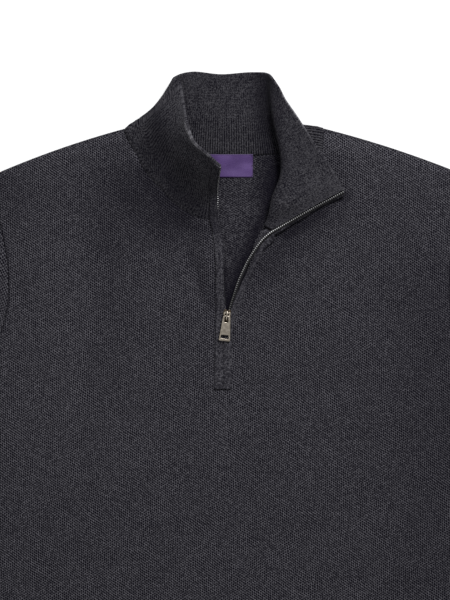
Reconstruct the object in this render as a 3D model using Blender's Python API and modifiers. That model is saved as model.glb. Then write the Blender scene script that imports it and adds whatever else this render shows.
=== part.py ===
"""Quarter zip sweater laid flat on its back.

The knitted panels, sleeves and ribs lie flat, one on another. The collar stands at one side of the neck
and is turned out as a flap at the other. Lengths are in millimetres up to the point where a mesh is made,
x runs across the chest, y up the body and z away from the surface that the sweater lies on.
"""

import math
from typing import NamedTuple

import bmesh
import bpy
import numpy as np
from mathutils import Matrix, Vector

MM = 0.001
GAP = 0.45            # between pieces at a seam, in plan
NECK_GAP = 0.7       # the same along the collar's seam
ARMHOLE_GAP = 0.7     # the same along the curved armhole
LIFT = 0.3            # between a piece and the panel that it lies on

BACK_WALL = 2.0
FRONT_WALL = 1.8
SLEEVE_WALL = 1.8
COLLAR_WALL = 3.0     # two layers of rib
TRIM_WALL = 1.2
LABEL_WALL = 0.7

EDGE_HEIGHT = BACK_WALL + 0.4 + FRONT_WALL / 2     # middle of the front wall along its side seams
CHEST_HEIGHT = 5.2                                 # middle of the front wall over the chest
EDGE_EASE = 28.0                                   # how far from a seam the front reaches that height
FLAT_TUBE_HEIGHT = 4.2                             # sleeve, cuff or hem at its ends, pressed flat
SLEEVE_LOFT = 2.0                                  # how much higher the sleeve lies along its middle

SLEEVE_LENGTH = 640.0                              # shoulder point to cuff end
SLEEVE_ANGLE = math.radians(55)                    # from the body's up and down line
SLEEVE_END_WIDTH = 100.0
CUFF_LENGTH = 65.0
CUFF_WIDTH = 88.0
HEM_LENGTH = 65.0
HEM_INSET = 8.0                                    # how far the hem draws in at each side
RIGHT_SPREAD = 14.0                                # the right half lies drawn out this much further

RIB_PITCH = 2.9
RIB_HEIGHT = 0.5

COLLAR_RIBS = 168
ROLL_REACH = 7.0                                   # how tightly the turned collar bends at its roll

CHAIN_RADIUS = 0.9
CHAIN_OFFSET = 1.3                                 # chain's middle beyond the collar's front edge
LABEL_SIZE = (62.0, 23.0)
LABEL_TOP = 145.8

PULL_TILT = math.radians(-5.7)                     # the slider and its pull lean towards the left
SLIDER_PLACE = (4.9, -15.5)
SLIDER_SIZE = (8.0, 12.0, 1.1)
SLIDER_BASE = 7.9
BRIDGE_RADIUS = 0.65
BRIDGE_LENGTH = 8.6
BRIDGE_TOP = 12.6                                  # middle of the bridge's bar
PULL_AXIS_HEIGHT = 10.6
PULL_AXIS_BACK = 0.8                               # axis below the middle of the slider
PULL_LENGTH = 25.5
PULL_WIDTHS = (7.2, 11.5)
PULL_WALL = 1.4
PULL_REST_SLOPE = math.radians(4.2)                # the tab rests with its free end lower


class PanelRow(NamedTuple):
    """A row of a half panel, from the side seam, armhole or shoulder in to the centre, zip or neck."""

    outer: tuple      # x, y on the left half, mirrored and drawn out for the right
    left: tuple       # inner end of the left half: x, y, or a place along the collar's seam
    right: tuple      # the same for the right half


FRONT_ROWS = (
    PanelRow((-274, -460), (0, -460), (0, -460)),
    PanelRow((-278, -330), (0, -330), (0, -330)),
    PanelRow((-280, -210), (0.5, -210), (0.5, -210)),
    PanelRow((-280, -112), (1.3, -124), (1.3, -124)),
    PanelRow((-262, -82), (1.4, -87.5), (1.4, -87.5)),
    PanelRow((-240, -56), (-2.4, -81), (5.2, -81)),
    PanelRow((-222, -33), (-3.3, -52), (6.3, -52)),
    PanelRow((-216, -12), (-2.2, -22), (9.0, -22)),
    PanelRow((-214, 5), (-1.2, -9), (12, -9)),
    PanelRow((-214, 22), (-2.8, 14), (19, 12)),
    PanelRow((-215, 38), (-3.8, 46), (27, 34)),
    PanelRow((-218, 55), -0.98, (31.8, 56)),
    PanelRow((-221, 70), -0.92, 0.93),
    PanelRow((-225, 85), -0.85, 0.86),
    PanelRow((-228, 96), -0.77, 0.79),
    PanelRow((-230, 104.5), -0.69, 0.73),
    PanelRow((-231, 108), -0.655, 0.70),
    PanelRow((-231.6, 111), -0.62, 0.67),
    PanelRow((-232.7, 115.5), -0.55, 0.60),
    PanelRow((-233.3, 118.5), -0.50, 0.53),
    PanelRow((-233.7, 121), -0.45, 0.465),
    PanelRow((-234, 123), -0.42, 0.425),
)
ROW_SHARES = (0, 0.08, 0.2, 0.33, 0.46, 0.59, 0.7, 0.79, 0.86, 0.92, 0.965, 1)   # closer at the zip
ARMHOLE_START = 3                                  # the row that ends at the underarm
SHOULDER_BOW = 3.0                                 # how far the shoulder line bows up between its ends

BACK_NECK_PLACES = np.linspace(-0.41, 0.41, 19)    # along the collar's seam


class Fold(NamedTuple):
    """A soft trough (negative) or ridge in the front, along a line."""

    start: tuple
    end: tuple
    width: float
    height: float


FRONT_FOLDS = (
    Fold((-38, 66), (-10, -10), 13, -1.5),         # beside the zip's trim
    Fold((-8, 60), (-6, 10), 12, 0.7),
    Fold((-116, 110), (-108, -34), 20, -0.8),
    Fold((-205, 108), (-184, 98), 16, -1.1),       # shoulder
    Fold((-165, 30), (-160, -130), 26, 0.9),
    Fold((40, 20), (44, -20), 15, -1.2),           # below the flap
    Fold((86, 46), (92, 10), 16, -1.0),
    Fold((130, 20), (214, -60), 28, -1.2),
    Fold((214, -70), (214, -230), 24, -0.8),
    Fold((110, 24), (120, -60), 22, 0.8),
    Fold((-100, -118), (-60, -116), 10, -0.7),
    Fold((30, -88), (130, -84), 11, -0.7),
    Fold((-30, -300), (90, -330), 30, 0.9),
    Fold((-200, -260), (-140, -390), 26, -1.0),
    Fold((160, -300), (200, -400), 26, -0.9),
)
NECK_SIDE = 98.0                                   # where the front lifts over the collar's fold
NECK_SIDE_Y = 148.0
NECK_SIDE_LIFT = 1.7
NECK_SIDE_SPREAD = 17.0


class CollarStation(NamedTuple):
    """A section of the collar from its seam over its roll, or its half height, to its top edge."""

    place: float      # -1 at the left zip edge, 0 at the middle of the back, 1 at the right zip edge
    seam: tuple
    roll: tuple
    top: tuple


COLLAR_STATIONS = (
    CollarStation(-1.00, (-4.2, 78, 6.0), (-4.9, 111, 19), (-1.4, 133.5, 47)),
    CollarStation(-0.90, (-26.5, 82, 6.2), (-23, 116, 20), (-14.6, 145.5, 48)),
    CollarStation(-0.80, (-47, 95, 6.4), (-40, 129, 20), (-27.6, 157.5, 46)),
    CollarStation(-0.70, (-62, 110, 6.6), (-50.5, 144, 20), (-33.6, 174.5, 41)),
    CollarStation(-0.58, (-79.5, 132, 6.9), (-62.5, 162, 19), (-36.8, 190, 34)),
    CollarStation(-0.49, (-90.5, 153, 6.8), (-68.5, 178, 17), (-38.6, 204, 26)),
    CollarStation(-0.45, (-95.2, 162.5, 6.2), (-69.5, 183.5, 15), (-39.8, 211, 22.5)),
    CollarStation(-0.41, (-96.6, 171.2, 4.2), (-69.5, 189, 12.5), (-41.2, 217, 19)),
    CollarStation(-0.34, (-83, 162, 1.6), (-63.5, 194, 7.6), (-47.6, 221.5, 12.5)),
    CollarStation(-0.27, (-65, 153.4, 1.5), (-53, 190, 3.4), (-41.5, 226, 6.8)),
    CollarStation(-0.19, (-46, 147.6, 1.5), (-39, 187, 1.6), (-31, 228.4, 3.0)),
    CollarStation(0.00, (0, 145.2, 1.5), (0, 186, 1.5), (0, 226, 1.8)),
    CollarStation(0.17, (41, 145.2, 1.5), (37, 186, 1.6), (32, 228, 2.6)),
    CollarStation(0.24, (57.5, 147.2, 1.5), (47.5, 186, 5.2), (44.5, 227, 8.0)),
    CollarStation(0.31, (75, 153.4, 1.6), (50, 192, 9.4), (51, 221, 17.0)),
    CollarStation(0.36, (88.5, 161.8, 2.2), (50.6, 188, 10.4), (57.5, 211.5, 18.6)),
    CollarStation(0.41, (100.9, 171.2, 4.4), (52, 180, 11.0), (63, 201, 18.4)),
    CollarStation(0.455, (101.4, 160.5, 6.2), (53.6, 171, 11.4), (67.5, 194.4, 17.9)),
    CollarStation(0.50, (100.4, 150, 6.8), (55.8, 161.5, 11.4), (72.4, 187.5, 17.2)),
    CollarStation(0.60, (97.4, 128, 6.6), (59.4, 145, 11.6), (83, 171.5, 15.8)),
    CollarStation(0.70, (89.4, 107, 6.4), (60, 131.5, 11.6), (93.2, 156, 14.4)),
    CollarStation(0.80, (69, 91, 6.4), (57, 117, 11.8), (104, 140.6, 13.0)),
    CollarStation(0.88, (51.5, 81.5, 7.2), (50, 96, 12.2), (112, 128, 12.0)),
    CollarStation(0.93, (43.2, 76, 10.0), (52, 84.5, 13.0), (116.6, 120.6, 11.5)),
    CollarStation(1.00, (49.7, 70.0, 12.0), (85.6, 90.4, 11.6), (122.2, 110.4, 11.2)),
)
RIB_LEVELS = (0.0, 0.25, 0.5, 0.74)                # rows with raised ribs: 0 at the seam, 1 on the roll
RIB_LEVEL_HEIGHTS = (1.0, 1.0, 0.8, 0.45)
PLAIN_LEVELS = (0.85, 0.93, 1.0, 1.07, 1.16, 1.31, 1.5, 1.7, 1.87, 1.965)
TOP_LEVEL = 2.0
PLAIN_EDGE = 0.95                                  # past this place the collar has no ribs
TOP_ROUNDING = 0.55                                # share of the wall left at the very top


class TrimRow(NamedTuple):
    """A row across the zip's trim where it lies on the front."""

    inner: tuple      # x, y at the border with the front panel, or at the roll
    edge: tuple       # x, y at the zip
    lift: float = 0   # how far it stands off the front where the front's edge is rolled


TRIM_LEFT_ROWS = (
    TrimRow((-10.4, 73), (-2.6, 73), 0.6),
    TrimRow((-9, 63), (0.3, 63)),
    TrimRow((-6.6, 39), (1.4, 39)),
    TrimRow((-6.6, 4), (2.3, 4)),
    TrimRow((-6.4, -10), (3.9, -10)),
    TrimRow((-6.8, -20), (3.8, -20)),
    TrimRow((-7, -34), (1.6, -34)),
    TrimRow((-7.2, -48), (1.2, -48)),
    TrimRow((-8, -89), (1.1, -89)),
)
TRIM_RIGHT_ROWS = (
    TrimRow((40.8, 71.6), (53.0, 62.0), 2.2),
    TrimRow((32.2, 58), (43.0, 51), 1.2),
    TrimRow((28.4, 38.6), (34.6, 35), 0.3),
    TrimRow((19.6, 22), (26.6, 18)),
    TrimRow((13.2, 4), (20.8, 1)),
    TrimRow((9.0, -9), (16.4, -11)),
    TrimRow((4.3, -20), (12.4, -21)),
    TrimRow((2.1, -34), (10.4, -34)),
    TrimRow((1.7, -48), (9.9, -48)),
    TrimRow((1.6, -89), (9.6, -89)),
)
CHAIN_LEFT_ROUTE = (                               # below the collar, x, y, z
    (0.1, 66, 5.3), (1.4, 39, 5.1), (2.4, 4, 5.1), (3.6, -10, 5.1), (3.0, -20, 5.1), (0.9, -34, 5.1),
    (0.2, -48, 5.1), (0.1, -78, 5.1),
)
CHAIN_RIGHT_ROUTE = (
    (45.8, 65.6, 11.6), (41.2, 61.6, 11.2), (35.4, 54.6, 10.3), (29.8, 46.4, 9.6), (25.6, 39.6, 8.9),
    (21.8, 31.8, 7.8), (17.8, 23, 6.4), (11.4, 4.6, 5.4), (7.4, -9, 5.1), (5.6, -20, 5.1),
    (3.2, -34, 5.1), (2.5, -48, 5.1), (2.4, -78, 5.1),
)

FINISHES = {
    "charcoal_knit": ((0.032, 0.031, 0.037), 0.92, 0.0),
    "charcoal_rib": ((0.026, 0.025, 0.031), 0.94, 0.0),
    "charcoal_trim": ((0.034, 0.033, 0.038), 0.9, 0.0),
    "purple_satin": ((0.10, 0.045, 0.22), 0.45, 0.0),
    "silver_teeth": ((0.62, 0.62, 0.63), 0.35, 1.0),
    "antique_nickel": ((0.42, 0.38, 0.33), 0.38, 1.0),
}


def clear_scene():
    """Removes whatever the file opened with."""
    for thing in list(bpy.data.objects):
        bpy.data.objects.remove(thing, do_unlink=True)


def make_collection(name):
    collection = bpy.data.collections.new(name)
    bpy.context.scene.collection.children.link(collection)
    return collection


def finish(name):
    """The named finish as a Principled material, made once."""
    if name in bpy.data.materials:
        return bpy.data.materials[name]
    colour, roughness, metallic = FINISHES[name]
    material = bpy.data.materials.new(name)
    material.use_nodes = True
    shader = material.node_tree.nodes["Principled BSDF"]
    shader.inputs["Base Color"].default_value = (*colour, 1)
    shader.inputs["Roughness"].default_value = roughness
    shader.inputs["Metallic"].default_value = metallic
    return material


def add_mesh(collection, name, points, faces, finish_name):
    """A mesh object from points in millimetres, with doubles merged and faces turned outwards."""
    mesh = bpy.data.meshes.new(name)
    mesh.from_pydata((np.asarray(points, float) * MM).tolist(), [], [list(face) for face in faces])
    shape = bmesh.new()
    shape.from_mesh(mesh)
    bmesh.ops.remove_doubles(shape, verts=shape.verts, dist=0.00001)
    bmesh.ops.recalc_face_normals(shape, faces=shape.faces)
    shape.to_mesh(mesh)
    shape.free()
    mesh.shade_smooth()
    mesh.set_sharp_from_angle(angle=math.radians(50))
    mesh.materials.append(finish(finish_name))
    piece = bpy.data.objects.new(name, mesh)
    collection.objects.link(piece)
    return piece


def thicken(piece, wall, offset=0.0):
    """Gives an open surface a wall. Offset 0 is half to each side, -1 all inwards."""
    solidify = piece.modifiers.new("wall", "SOLIDIFY")
    solidify.thickness = wall * MM
    solidify.offset = offset
    return piece


def smooth(knots, rows, places):
    """Points on a smooth curve through rows, which stand at knots, one for each of places."""
    knots = np.asarray(knots, float)
    rows = np.asarray(rows, float)
    steps = np.diff(knots)[:, None]
    chords = np.diff(rows, axis=0) / steps
    slopes = np.vstack((chords[:1], chords[:1], chords[1:]))
    slopes[1:-1] = (steps[1:] * chords[:-1] + steps[:-1] * chords[1:]) / (steps[1:] + steps[:-1])
    left = np.clip(np.searchsorted(knots, places, side="right") - 1, 0, len(knots) - 2)
    t = ((places - knots[left]) / (knots[left + 1] - knots[left]))[:, None]
    step = steps[left]
    near, far = rows[left], rows[left + 1]
    return (
        (1 + 2 * t) * (1 - t) ** 2 * near
        + t * (1 - t) ** 2 * step * slopes[left]
        + t**2 * (3 - 2 * t) * far
        + t**2 * (t - 1) * step * slopes[left + 1]
    )


def ease(share):
    """0 to 1 with level ends."""
    share = np.clip(share, 0.0, 1.0)
    return share * share * (3 - 2 * share)


def outer_point(row, side):
    """Where a row meets the panel's outline at one side."""
    x, y = row.outer
    return (x, y) if side < 0 else (RIGHT_SPREAD - x, y)


def distance_to_line(points, start, end):
    """How far points lie from the straight line between two ends, in plan."""
    start, end = np.asarray(start, float), np.asarray(end, float)
    along = end - start
    share = np.clip(((points - start) @ along) / (along @ along), 0, 1)
    return np.linalg.norm(points - start - share[..., None] * along, axis=-1)


def moved_out(line, distance):
    """A line in plan moved sideways, to the right of its direction."""
    line = np.asarray(line, float)
    run = np.gradient(line, axis=0)
    run /= np.linalg.norm(run, axis=1)[:, None]
    return line + distance * np.column_stack((run[:, 1], -run[:, 0]))


def row_points(outer, inner, shares, bow=0.0):
    """Points along a panel's row, from its outer to its inner end."""
    share = np.asarray(shares, float)[:, None]
    points = np.asarray(outer, float) * (1 - share) + np.asarray(inner, float) * share
    points[:, 1] += bow * 4 * share[:, 0] * (1 - share[:, 0])
    return points


def neck_seam(places, distance):
    """Points beside the collar's seam in plan, to the left of its run by a distance."""
    knots = [station.place for station in COLLAR_STATIONS]
    seams = [station.seam[:2] for station in COLLAR_STATIONS]
    near = 0.006
    places = np.clip(np.atleast_1d(places), near - 1, 1 - near)
    run = smooth(knots, seams, places + near) - smooth(knots, seams, places - near)
    run /= np.linalg.norm(run, axis=1)[:, None]
    return smooth(knots, seams, places) + distance * np.column_stack((-run[:, 1], run[:, 0]))


def inner_end(row, side):
    """Where a row of the front ends, at the centre, the zip's slit or the neck seam."""
    end = row.left if side < 0 else row.right
    return np.array(end, float) if isinstance(end, tuple) else neck_seam(end, NECK_GAP)[0]


def outer_edge(side):
    """The front's outline at one side, hem to shoulder point and on along the shoulder."""
    line = [outer_point(row, side) for row in FRONT_ROWS]
    shoulder = row_points(line[-1], inner_end(FRONT_ROWS[-1], side), ROW_SHARES, SHOULDER_BOW)
    return line + [tuple(point) for point in shoulder[1:]]


def front_height(points):
    """Middle of the front wall above the surface that the sweater lies on."""
    points = np.asarray(points, float)
    edge = points[..., 1] - FRONT_ROWS[0].outer[1]
    for side in (-1, 1):
        line = outer_edge(side)
        for start, end in zip(line, line[1:]):
            edge = np.minimum(edge, distance_to_line(points, start, end))
    height = np.full(points.shape[:-1], CHEST_HEIGHT)
    for fold in FRONT_FOLDS:
        across = distance_to_line(points, fold.start, fold.end) / fold.width
        height = height + fold.height * np.exp(-across * across)
    for side in (-1, 1):
        across = np.hypot(points[..., 0] - side * NECK_SIDE, points[..., 1] - NECK_SIDE_Y)
        height = height + NECK_SIDE_LIFT * np.exp(-((across / NECK_SIDE_SPREAD) ** 2))
    return EDGE_HEIGHT + (height - EDGE_HEIGHT) * ease(edge / EDGE_EASE)


def grid_faces(rows, columns, first=0):
    """Quads of a grid whose points are listed row by row."""
    return [
        (first + r * columns + c, first + r * columns + c + 1,
         first + (r + 1) * columns + c + 1, first + (r + 1) * columns + c)
        for r in range(rows - 1)
        for c in range(columns - 1)
    ]


def make_front(collection):
    """Both halves of the front as one sheet, joined below the slit."""
    points, faces = [], []
    for side in (-1, 1):
        first = len(points)
        for number, row in enumerate(FRONT_ROWS):
            bow = SHOULDER_BOW if number == len(FRONT_ROWS) - 1 else 0.0
            plan = row_points(outer_point(row, side), inner_end(row, side), ROW_SHARES, bow)
            points.extend(np.column_stack((plan, front_height(plan))))
        faces += grid_faces(len(FRONT_ROWS), len(ROW_SHARES), first)
    piece = add_mesh(collection, "front_panel", points, faces, "charcoal_knit")
    return thicken(piece, FRONT_WALL)


def make_back(collection):
    """The back as one flat sheet with a shallower neck."""
    sides = [[outer_point(row, side) for row in FRONT_ROWS] for side in (-1, 1)]
    neck = neck_seam(BACK_NECK_PLACES, -NECK_GAP)
    shoulders = [
        row_points(line[-1], end, ROW_SHARES, SHOULDER_BOW)[1:-1]
        for line, end in zip(sides, (neck[0], neck[-1]))
    ]
    outline = [*sides[0], *shoulders[0], *neck, *shoulders[1][::-1], *sides[1][::-1]]
    mesh = flat_plate("back_panel", [outline], BACK_WALL)
    mesh.transform(Matrix.Translation((0, 0, BACK_WALL / 2 * MM)))
    mesh.materials.append(finish("charcoal_knit"))
    back = bpy.data.objects.new("back_panel", mesh)
    collection.objects.link(back)
    return back


def tube_section(places, edges, height):
    """Section of a tube pressed flat: (share across, height) all round, over the top and back underneath."""
    low, high = edges
    round_in = ((0.0, 0.5), (0.25, 0.86), (1.0, 1.0))
    section = [(low + reach * (places[0] - low), share) for reach, share in round_in[:2]]
    section += [(place, 1.0) for place in places]
    section += [(high - reach * (high - places[-1]), share) for reach, share in reversed(round_in[:2])]
    section += [(high - 0.25 * (high - places[-1]), 0.14)]
    section += [(place, 0.0) for place in reversed(places)]
    section += [(low + 0.25 * (places[0] - low), 0.14)]
    return np.array(section) * (1, height)


def sleeve_ends(side):
    """The sleeve's end line, shoulder side first, and the direction that the sleeve runs in."""
    tip = np.array(outer_point(FRONT_ROWS[-1], side))
    run = np.array((side * math.sin(SLEEVE_ANGLE), -math.cos(SLEEVE_ANGLE)))
    across = np.array((-side * math.cos(SLEEVE_ANGLE), -math.sin(SLEEVE_ANGLE)))
    start = tip + run * (SLEEVE_LENGTH - CUFF_LENGTH)
    return start, start + across * SLEEVE_END_WIDTH, run, across


def make_sleeve(collection, name, side):
    """A tube from the armhole's curve to the straight end of the sleeve, pressed flat."""
    armhole = np.array([outer_point(row, side) for row in FRONT_ROWS[ARMHOLE_START:]])[::-1]
    armhole = moved_out(armhole, -side * ARMHOLE_GAP)
    run_length = np.concatenate(([0], np.cumsum(np.linalg.norm(np.diff(armhole, axis=0), axis=1))))
    shares = run_length / run_length[-1]
    end_top, end_under, _, _ = sleeve_ends(side)
    margin = 0.012
    places = [margin] + [s for s in shares[1:-1] if margin < s < 1 - margin] + [1 - margin]
    rings = []
    for t in (0.0, 0.07, 0.18, 0.32, 0.48, 0.64, 0.8, 0.92, 1.0):
        section = tube_section(places, (0.0, 1.0), 1.0)
        start = np.column_stack([np.interp(section[:, 0], shares, armhole[:, i]) for i in (0, 1)])
        end = end_top + section[:, :1] * (end_under - end_top)
        plan = start * (1 - t) + end * t
        loft = FLAT_TUBE_HEIGHT + SLEEVE_LOFT * 4 * t * (1 - t) * np.sin(math.pi * section[:, 0])
        rings.append(np.column_stack((plan, section[:, 1] * loft)))
    count = len(rings[0])
    faces = [
        (r * count + i, r * count + (i + 1) % count, (r + 1) * count + (i + 1) % count, (r + 1) * count + i)
        for r in range(len(rings) - 1)
        for i in range(count)
    ]
    piece = add_mesh(collection, name, np.vstack(rings), faces, "charcoal_knit")
    return thicken(piece, SLEEVE_WALL, -1.0)


def strip_faces(first, second):
    """Triangles between two rows of (place, point number), which may differ in count."""
    faces = []
    a = b = 0
    while a < len(first) - 1 or b < len(second) - 1:
        if b == len(second) - 1 or (a < len(first) - 1 and first[a + 1][0] <= second[b + 1][0]):
            faces.append((first[a][1], first[a + 1][1], second[b][1]))
            a += 1
        else:
            faces.append((first[a][1], second[b + 1][1], second[b][1]))
            b += 1
    return faces


def ring_places(section):
    """Places round a pressed tube's section: 0 to 1 over the top, 1 to 2 back underneath."""
    low, high = section[:, 0].min(), section[:, 0].max()
    share = (section[:, 0] - low) / (high - low)
    back = np.arange(len(section)) > np.argmax(share)
    return np.where(back, 2 - share, share)


def make_ribbed_tube(collection, name, upper, lower):
    """A rib tube pressed flat, between two edge lines, ribs raised on top over a plain inside."""
    upper, lower = np.asarray(upper, float), np.asarray(lower, float)
    width = np.linalg.norm(lower[1] - lower[0])
    ribs = round(width / RIB_PITCH)
    margin = 2.4 / width
    top_places = np.linspace(margin, 1 - margin, 2 * ribs + 1)
    plain_places = np.linspace(margin, 1 - margin, max(6, ribs // 8))
    outer = tube_section(list(plain_places), (0.0, 1.0), FLAT_TUBE_HEIGHT)
    ribbed = np.column_stack((top_places, np.full(len(top_places), FLAT_TUBE_HEIGHT)))
    ribbed[1::2, 1] += RIB_HEIGHT
    outer = np.vstack((outer[:2], ribbed, outer[2 + len(plain_places):]))
    inner_margin = SLEEVE_WALL / width
    inner_height = FLAT_TUBE_HEIGHT - 2 * SLEEVE_WALL
    inner = tube_section(list(plain_places), (inner_margin, 1 - inner_margin), inner_height)
    inner[:, 1] += SLEEVE_WALL
    rows, numbers, first = [], [], 0
    for section, ends in ((outer, upper), (outer, lower), (inner, lower), (inner, upper)):
        plan = ends[0] + section[:, :1] * (ends[1] - ends[0])
        rows.append(np.column_stack((plan, section[:, 1])))
        ring = list(zip(ring_places(section), range(first, first + len(section))))
        numbers.append(ring + [(2.0, first)])
        first += len(section)
    faces = []
    for here, there in zip(numbers, numbers[1:] + numbers[:1]):
        faces += strip_faces(here, there)
    return add_mesh(collection, name, np.vstack(rows), faces, "charcoal_rib")


def collar_section(seam, roll, top, levels):
    """Points of one section at levels 0 to 2, from two Bezier arcs that meet on the roll at level 1."""
    rise, fall = roll - seam, top - roll
    rise_length, fall_length = np.linalg.norm(rise), np.linalg.norm(fall)
    inward, outward = rise / rise_length, fall / fall_length
    turn = np.linalg.norm(inward - outward) / 2
    crest = (inward + outward) / 2 + np.array((0, 0, turn))
    crest /= np.linalg.norm(crest)
    level_start = inward * (1, 1, 0)
    first = (seam, seam + level_start * rise_length / 3,
             roll - crest * (turn * ROLL_REACH + (1 - turn) * rise_length / 3), roll)
    second = (roll, roll + crest * (turn * ROLL_REACH + (1 - turn) * fall_length / 3),
              top - outward * fall_length / 3, top)
    t = np.linspace(0, 1, 17)[:, None]
    path, passed = [], []
    for number, (a, b, c, d) in enumerate((first, second)):
        arc = (1 - t) ** 3 * a + 3 * t * (1 - t) ** 2 * b + 3 * t**2 * (1 - t) * c + t**3 * d
        run = np.concatenate(([0], np.cumsum(np.linalg.norm(np.diff(arc, axis=0), axis=1))))
        path.append(arc)
        passed.append(number + run / run[-1])
    path, passed = np.vstack(path), np.concatenate(passed)
    return np.column_stack([np.interp(levels, passed, path[:, i]) for i in range(3)])


def collar_surface(places, levels):
    """Middle of the collar's wall and its outward directions, for each place and level."""
    knots = [station.place for station in COLLAR_STATIONS]
    lines = [smooth(knots, [getattr(station, part) for station in COLLAR_STATIONS], np.asarray(places))
             for part in ("seam", "roll", "top")]
    points = np.array([collar_section(seam, roll, top, levels) for seam, roll, top in zip(*lines)])
    points[..., 2] = np.maximum(points[..., 2], COLLAR_WALL / 2)
    along = np.gradient(points, axis=0)
    up = np.gradient(points, axis=1)
    up[:, 0, 2] = 0                                 # the wall leaves its seam level
    out = -np.cross(along, up)
    return points, out / np.linalg.norm(out, axis=-1, keepdims=True)


def collar_columns():
    """Numbers of the rib points that carry a plain column, closer together at the folds."""
    total = 2 * COLLAR_RIBS
    chosen = []
    for number in range(0, total + 1, 4):
        place = 2 * number / total - 1
        if number % 8 == 0 or place > 0.2 or -0.62 < place < -0.2:
            chosen.append(number)
    return chosen


def make_collar(collection):
    """The collar's double wall, with ribs raised near its seam on the outside."""
    total = 2 * COLLAR_RIBS
    places = np.linspace(-1, 1, total + 1)
    columns = collar_columns()
    levels = RIB_LEVELS + PLAIN_LEVELS + (TOP_LEVEL,)
    middle, out = collar_surface(places, levels)
    half = COLLAR_WALL / 2
    raised = np.where(np.arange(total + 1) % 2 == 1, RIB_HEIGHT, 0.0) * (abs(places) < PLAIN_EDGE)
    clear = ease(out[..., 2] * 3 + 1)               # no ribs on the underside, which rests flat
    outer_rows, inner_rows = [], []
    for number, level in enumerate(levels):
        wall = half if level < TOP_LEVEL else half * TOP_ROUNDING
        if number < len(RIB_LEVELS):
            offset = wall + raised * clear[:, number] * RIB_LEVEL_HEIGHTS[number]
            outer_rows.append(middle[:, number] + out[:, number] * offset[:, None])
        else:
            outer_rows.append(middle[columns, number] + out[columns, number] * wall)
        inner_rows.append(middle[columns, number] - out[columns, number] * wall)
    rows = outer_rows + inner_rows[::-1]
    numbers, first = [], 0
    for row in rows:
        row_places = places if len(row) == len(places) else places[columns]
        numbers.append(list(zip(row_places, range(first, first + len(row)))))
        first += len(row)
    faces = []
    for here, there in zip(numbers, numbers[1:] + numbers[:1]):
        faces += strip_faces(here, there)
    count = len(levels)
    for end in (0, -1):
        for level in range(count - 1):
            outer_low, outer_high = numbers[level][end][1], numbers[level + 1][end][1]
            inner_low, inner_high = numbers[-1 - level][end][1], numbers[-2 - level][end][1]
            faces.append((outer_low, outer_high, inner_high, inner_low))
    return add_mesh(collection, "collar", np.vstack(rows), faces, "charcoal_rib")


def collar_edge(side):
    """The collar's front edge, top to seam: points, the next column in, directions off it and outwards."""
    last = 1 - (4 if side > 0 else 8) / COLLAR_RIBS
    points, out = collar_surface(sorted((side * last, side)), RIB_LEVELS + PLAIN_LEVELS + (TOP_LEVEL,))
    edge, inside = points[::side][1], points[::side][0]
    run = np.gradient(edge, axis=0)
    run /= np.linalg.norm(run, axis=-1, keepdims=True)
    off = edge - inside
    off -= np.sum(off * run, axis=-1, keepdims=True) * run
    off /= np.linalg.norm(off, axis=-1, keepdims=True)
    return edge[::-1], inside[::-1], off[::-1], out[::side][1][::-1]


def make_trim(collection, name, side, rows, reaches):
    """Plain edging beside the zip: on the collar's outer face, then down the front to the placket's end."""
    edge, inside, off, out = collar_edge(side)
    lift = COLLAR_WALL / 2 + LIFT + TRIM_WALL / 2
    front_lift = FRONT_WALL / 2 + 2 * LIFT + TRIM_WALL / 2
    along = (edge - inside) / np.linalg.norm(edge - inside, axis=-1, keepdims=True)
    grid = [
        [point + (direction if reach > 0 else level) * reach + face * lift for reach in reaches]
        for point, level, direction, face in zip(edge, along, off, out)
    ]
    for row in rows:
        plan = row_points(row.inner, row.edge, (0, 0.5, 1))
        grid.append(np.column_stack((plan, front_height(plan) + front_lift + row.lift)))
    piece = add_mesh(collection, name, np.array([p for line in grid for p in line]),
                     grid_faces(len(grid), 3), "charcoal_trim")
    return thicken(piece, TRIM_WALL)


def make_chain(collection, name, side, route):
    """One row of zip teeth as a slim cord, along the collar's front edge and down to the placket's end."""
    edge, _, off, _ = collar_edge(side)
    points = list(edge + off * CHAIN_OFFSET) + [np.array(point, float) for point in route]
    curve = bpy.data.curves.new(name, "CURVE")
    curve.dimensions = "3D"
    curve.bevel_depth = CHAIN_RADIUS * MM
    curve.bevel_resolution = 1
    curve.use_fill_caps = True
    spline = curve.splines.new("POLY")
    spline.points.add(len(points) - 1)
    for target, point in zip(spline.points, points):
        target.co = (*(point * MM), 1)
    curve.materials.append(finish("silver_teeth"))
    chain = bpy.data.objects.new(name, curve)
    collection.objects.link(chain)
    return chain


def make_label(collection):
    """The satin label, its top edge over the neck seam and its foot on the back."""
    width, length = LABEL_SIZE
    across = np.linspace(-width / 2, width / 2, 7)
    down = np.linspace(0, 1, 4)
    top, foot = COLLAR_WALL + LIFT + LABEL_WALL / 2, BACK_WALL + LIFT + LABEL_WALL / 2
    points = [
        (x, LABEL_TOP - length * share, foot + (top - foot) * (1 - ease(share * 2.2)))
        for share in down for x in across
    ]
    piece = add_mesh(collection, "neck_label", points, grid_faces(len(down), len(across)), "purple_satin")
    return thicken(piece, LABEL_WALL)


def slider_matrix():
    """From the slider's own frame, middle of its foot, to the sweater's, in metres."""
    place = Vector((*SLIDER_PLACE, SLIDER_BASE)) * MM
    return Matrix.Translation(place) @ Matrix.Rotation(PULL_TILT, 4, "Z")


def mesh_from(thing):
    """A mesh of a curve object as evaluated, with its caps welded."""
    depsgraph = bpy.context.evaluated_depsgraph_get()
    mesh = bpy.data.meshes.new_from_object(thing.evaluated_get(depsgraph))
    shape = bmesh.new()
    shape.from_mesh(mesh)
    bmesh.ops.remove_doubles(shape, verts=shape.verts, dist=0.000001)
    bmesh.ops.recalc_face_normals(shape, faces=shape.faces)
    shape.to_mesh(mesh)
    shape.free()
    return mesh


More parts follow.
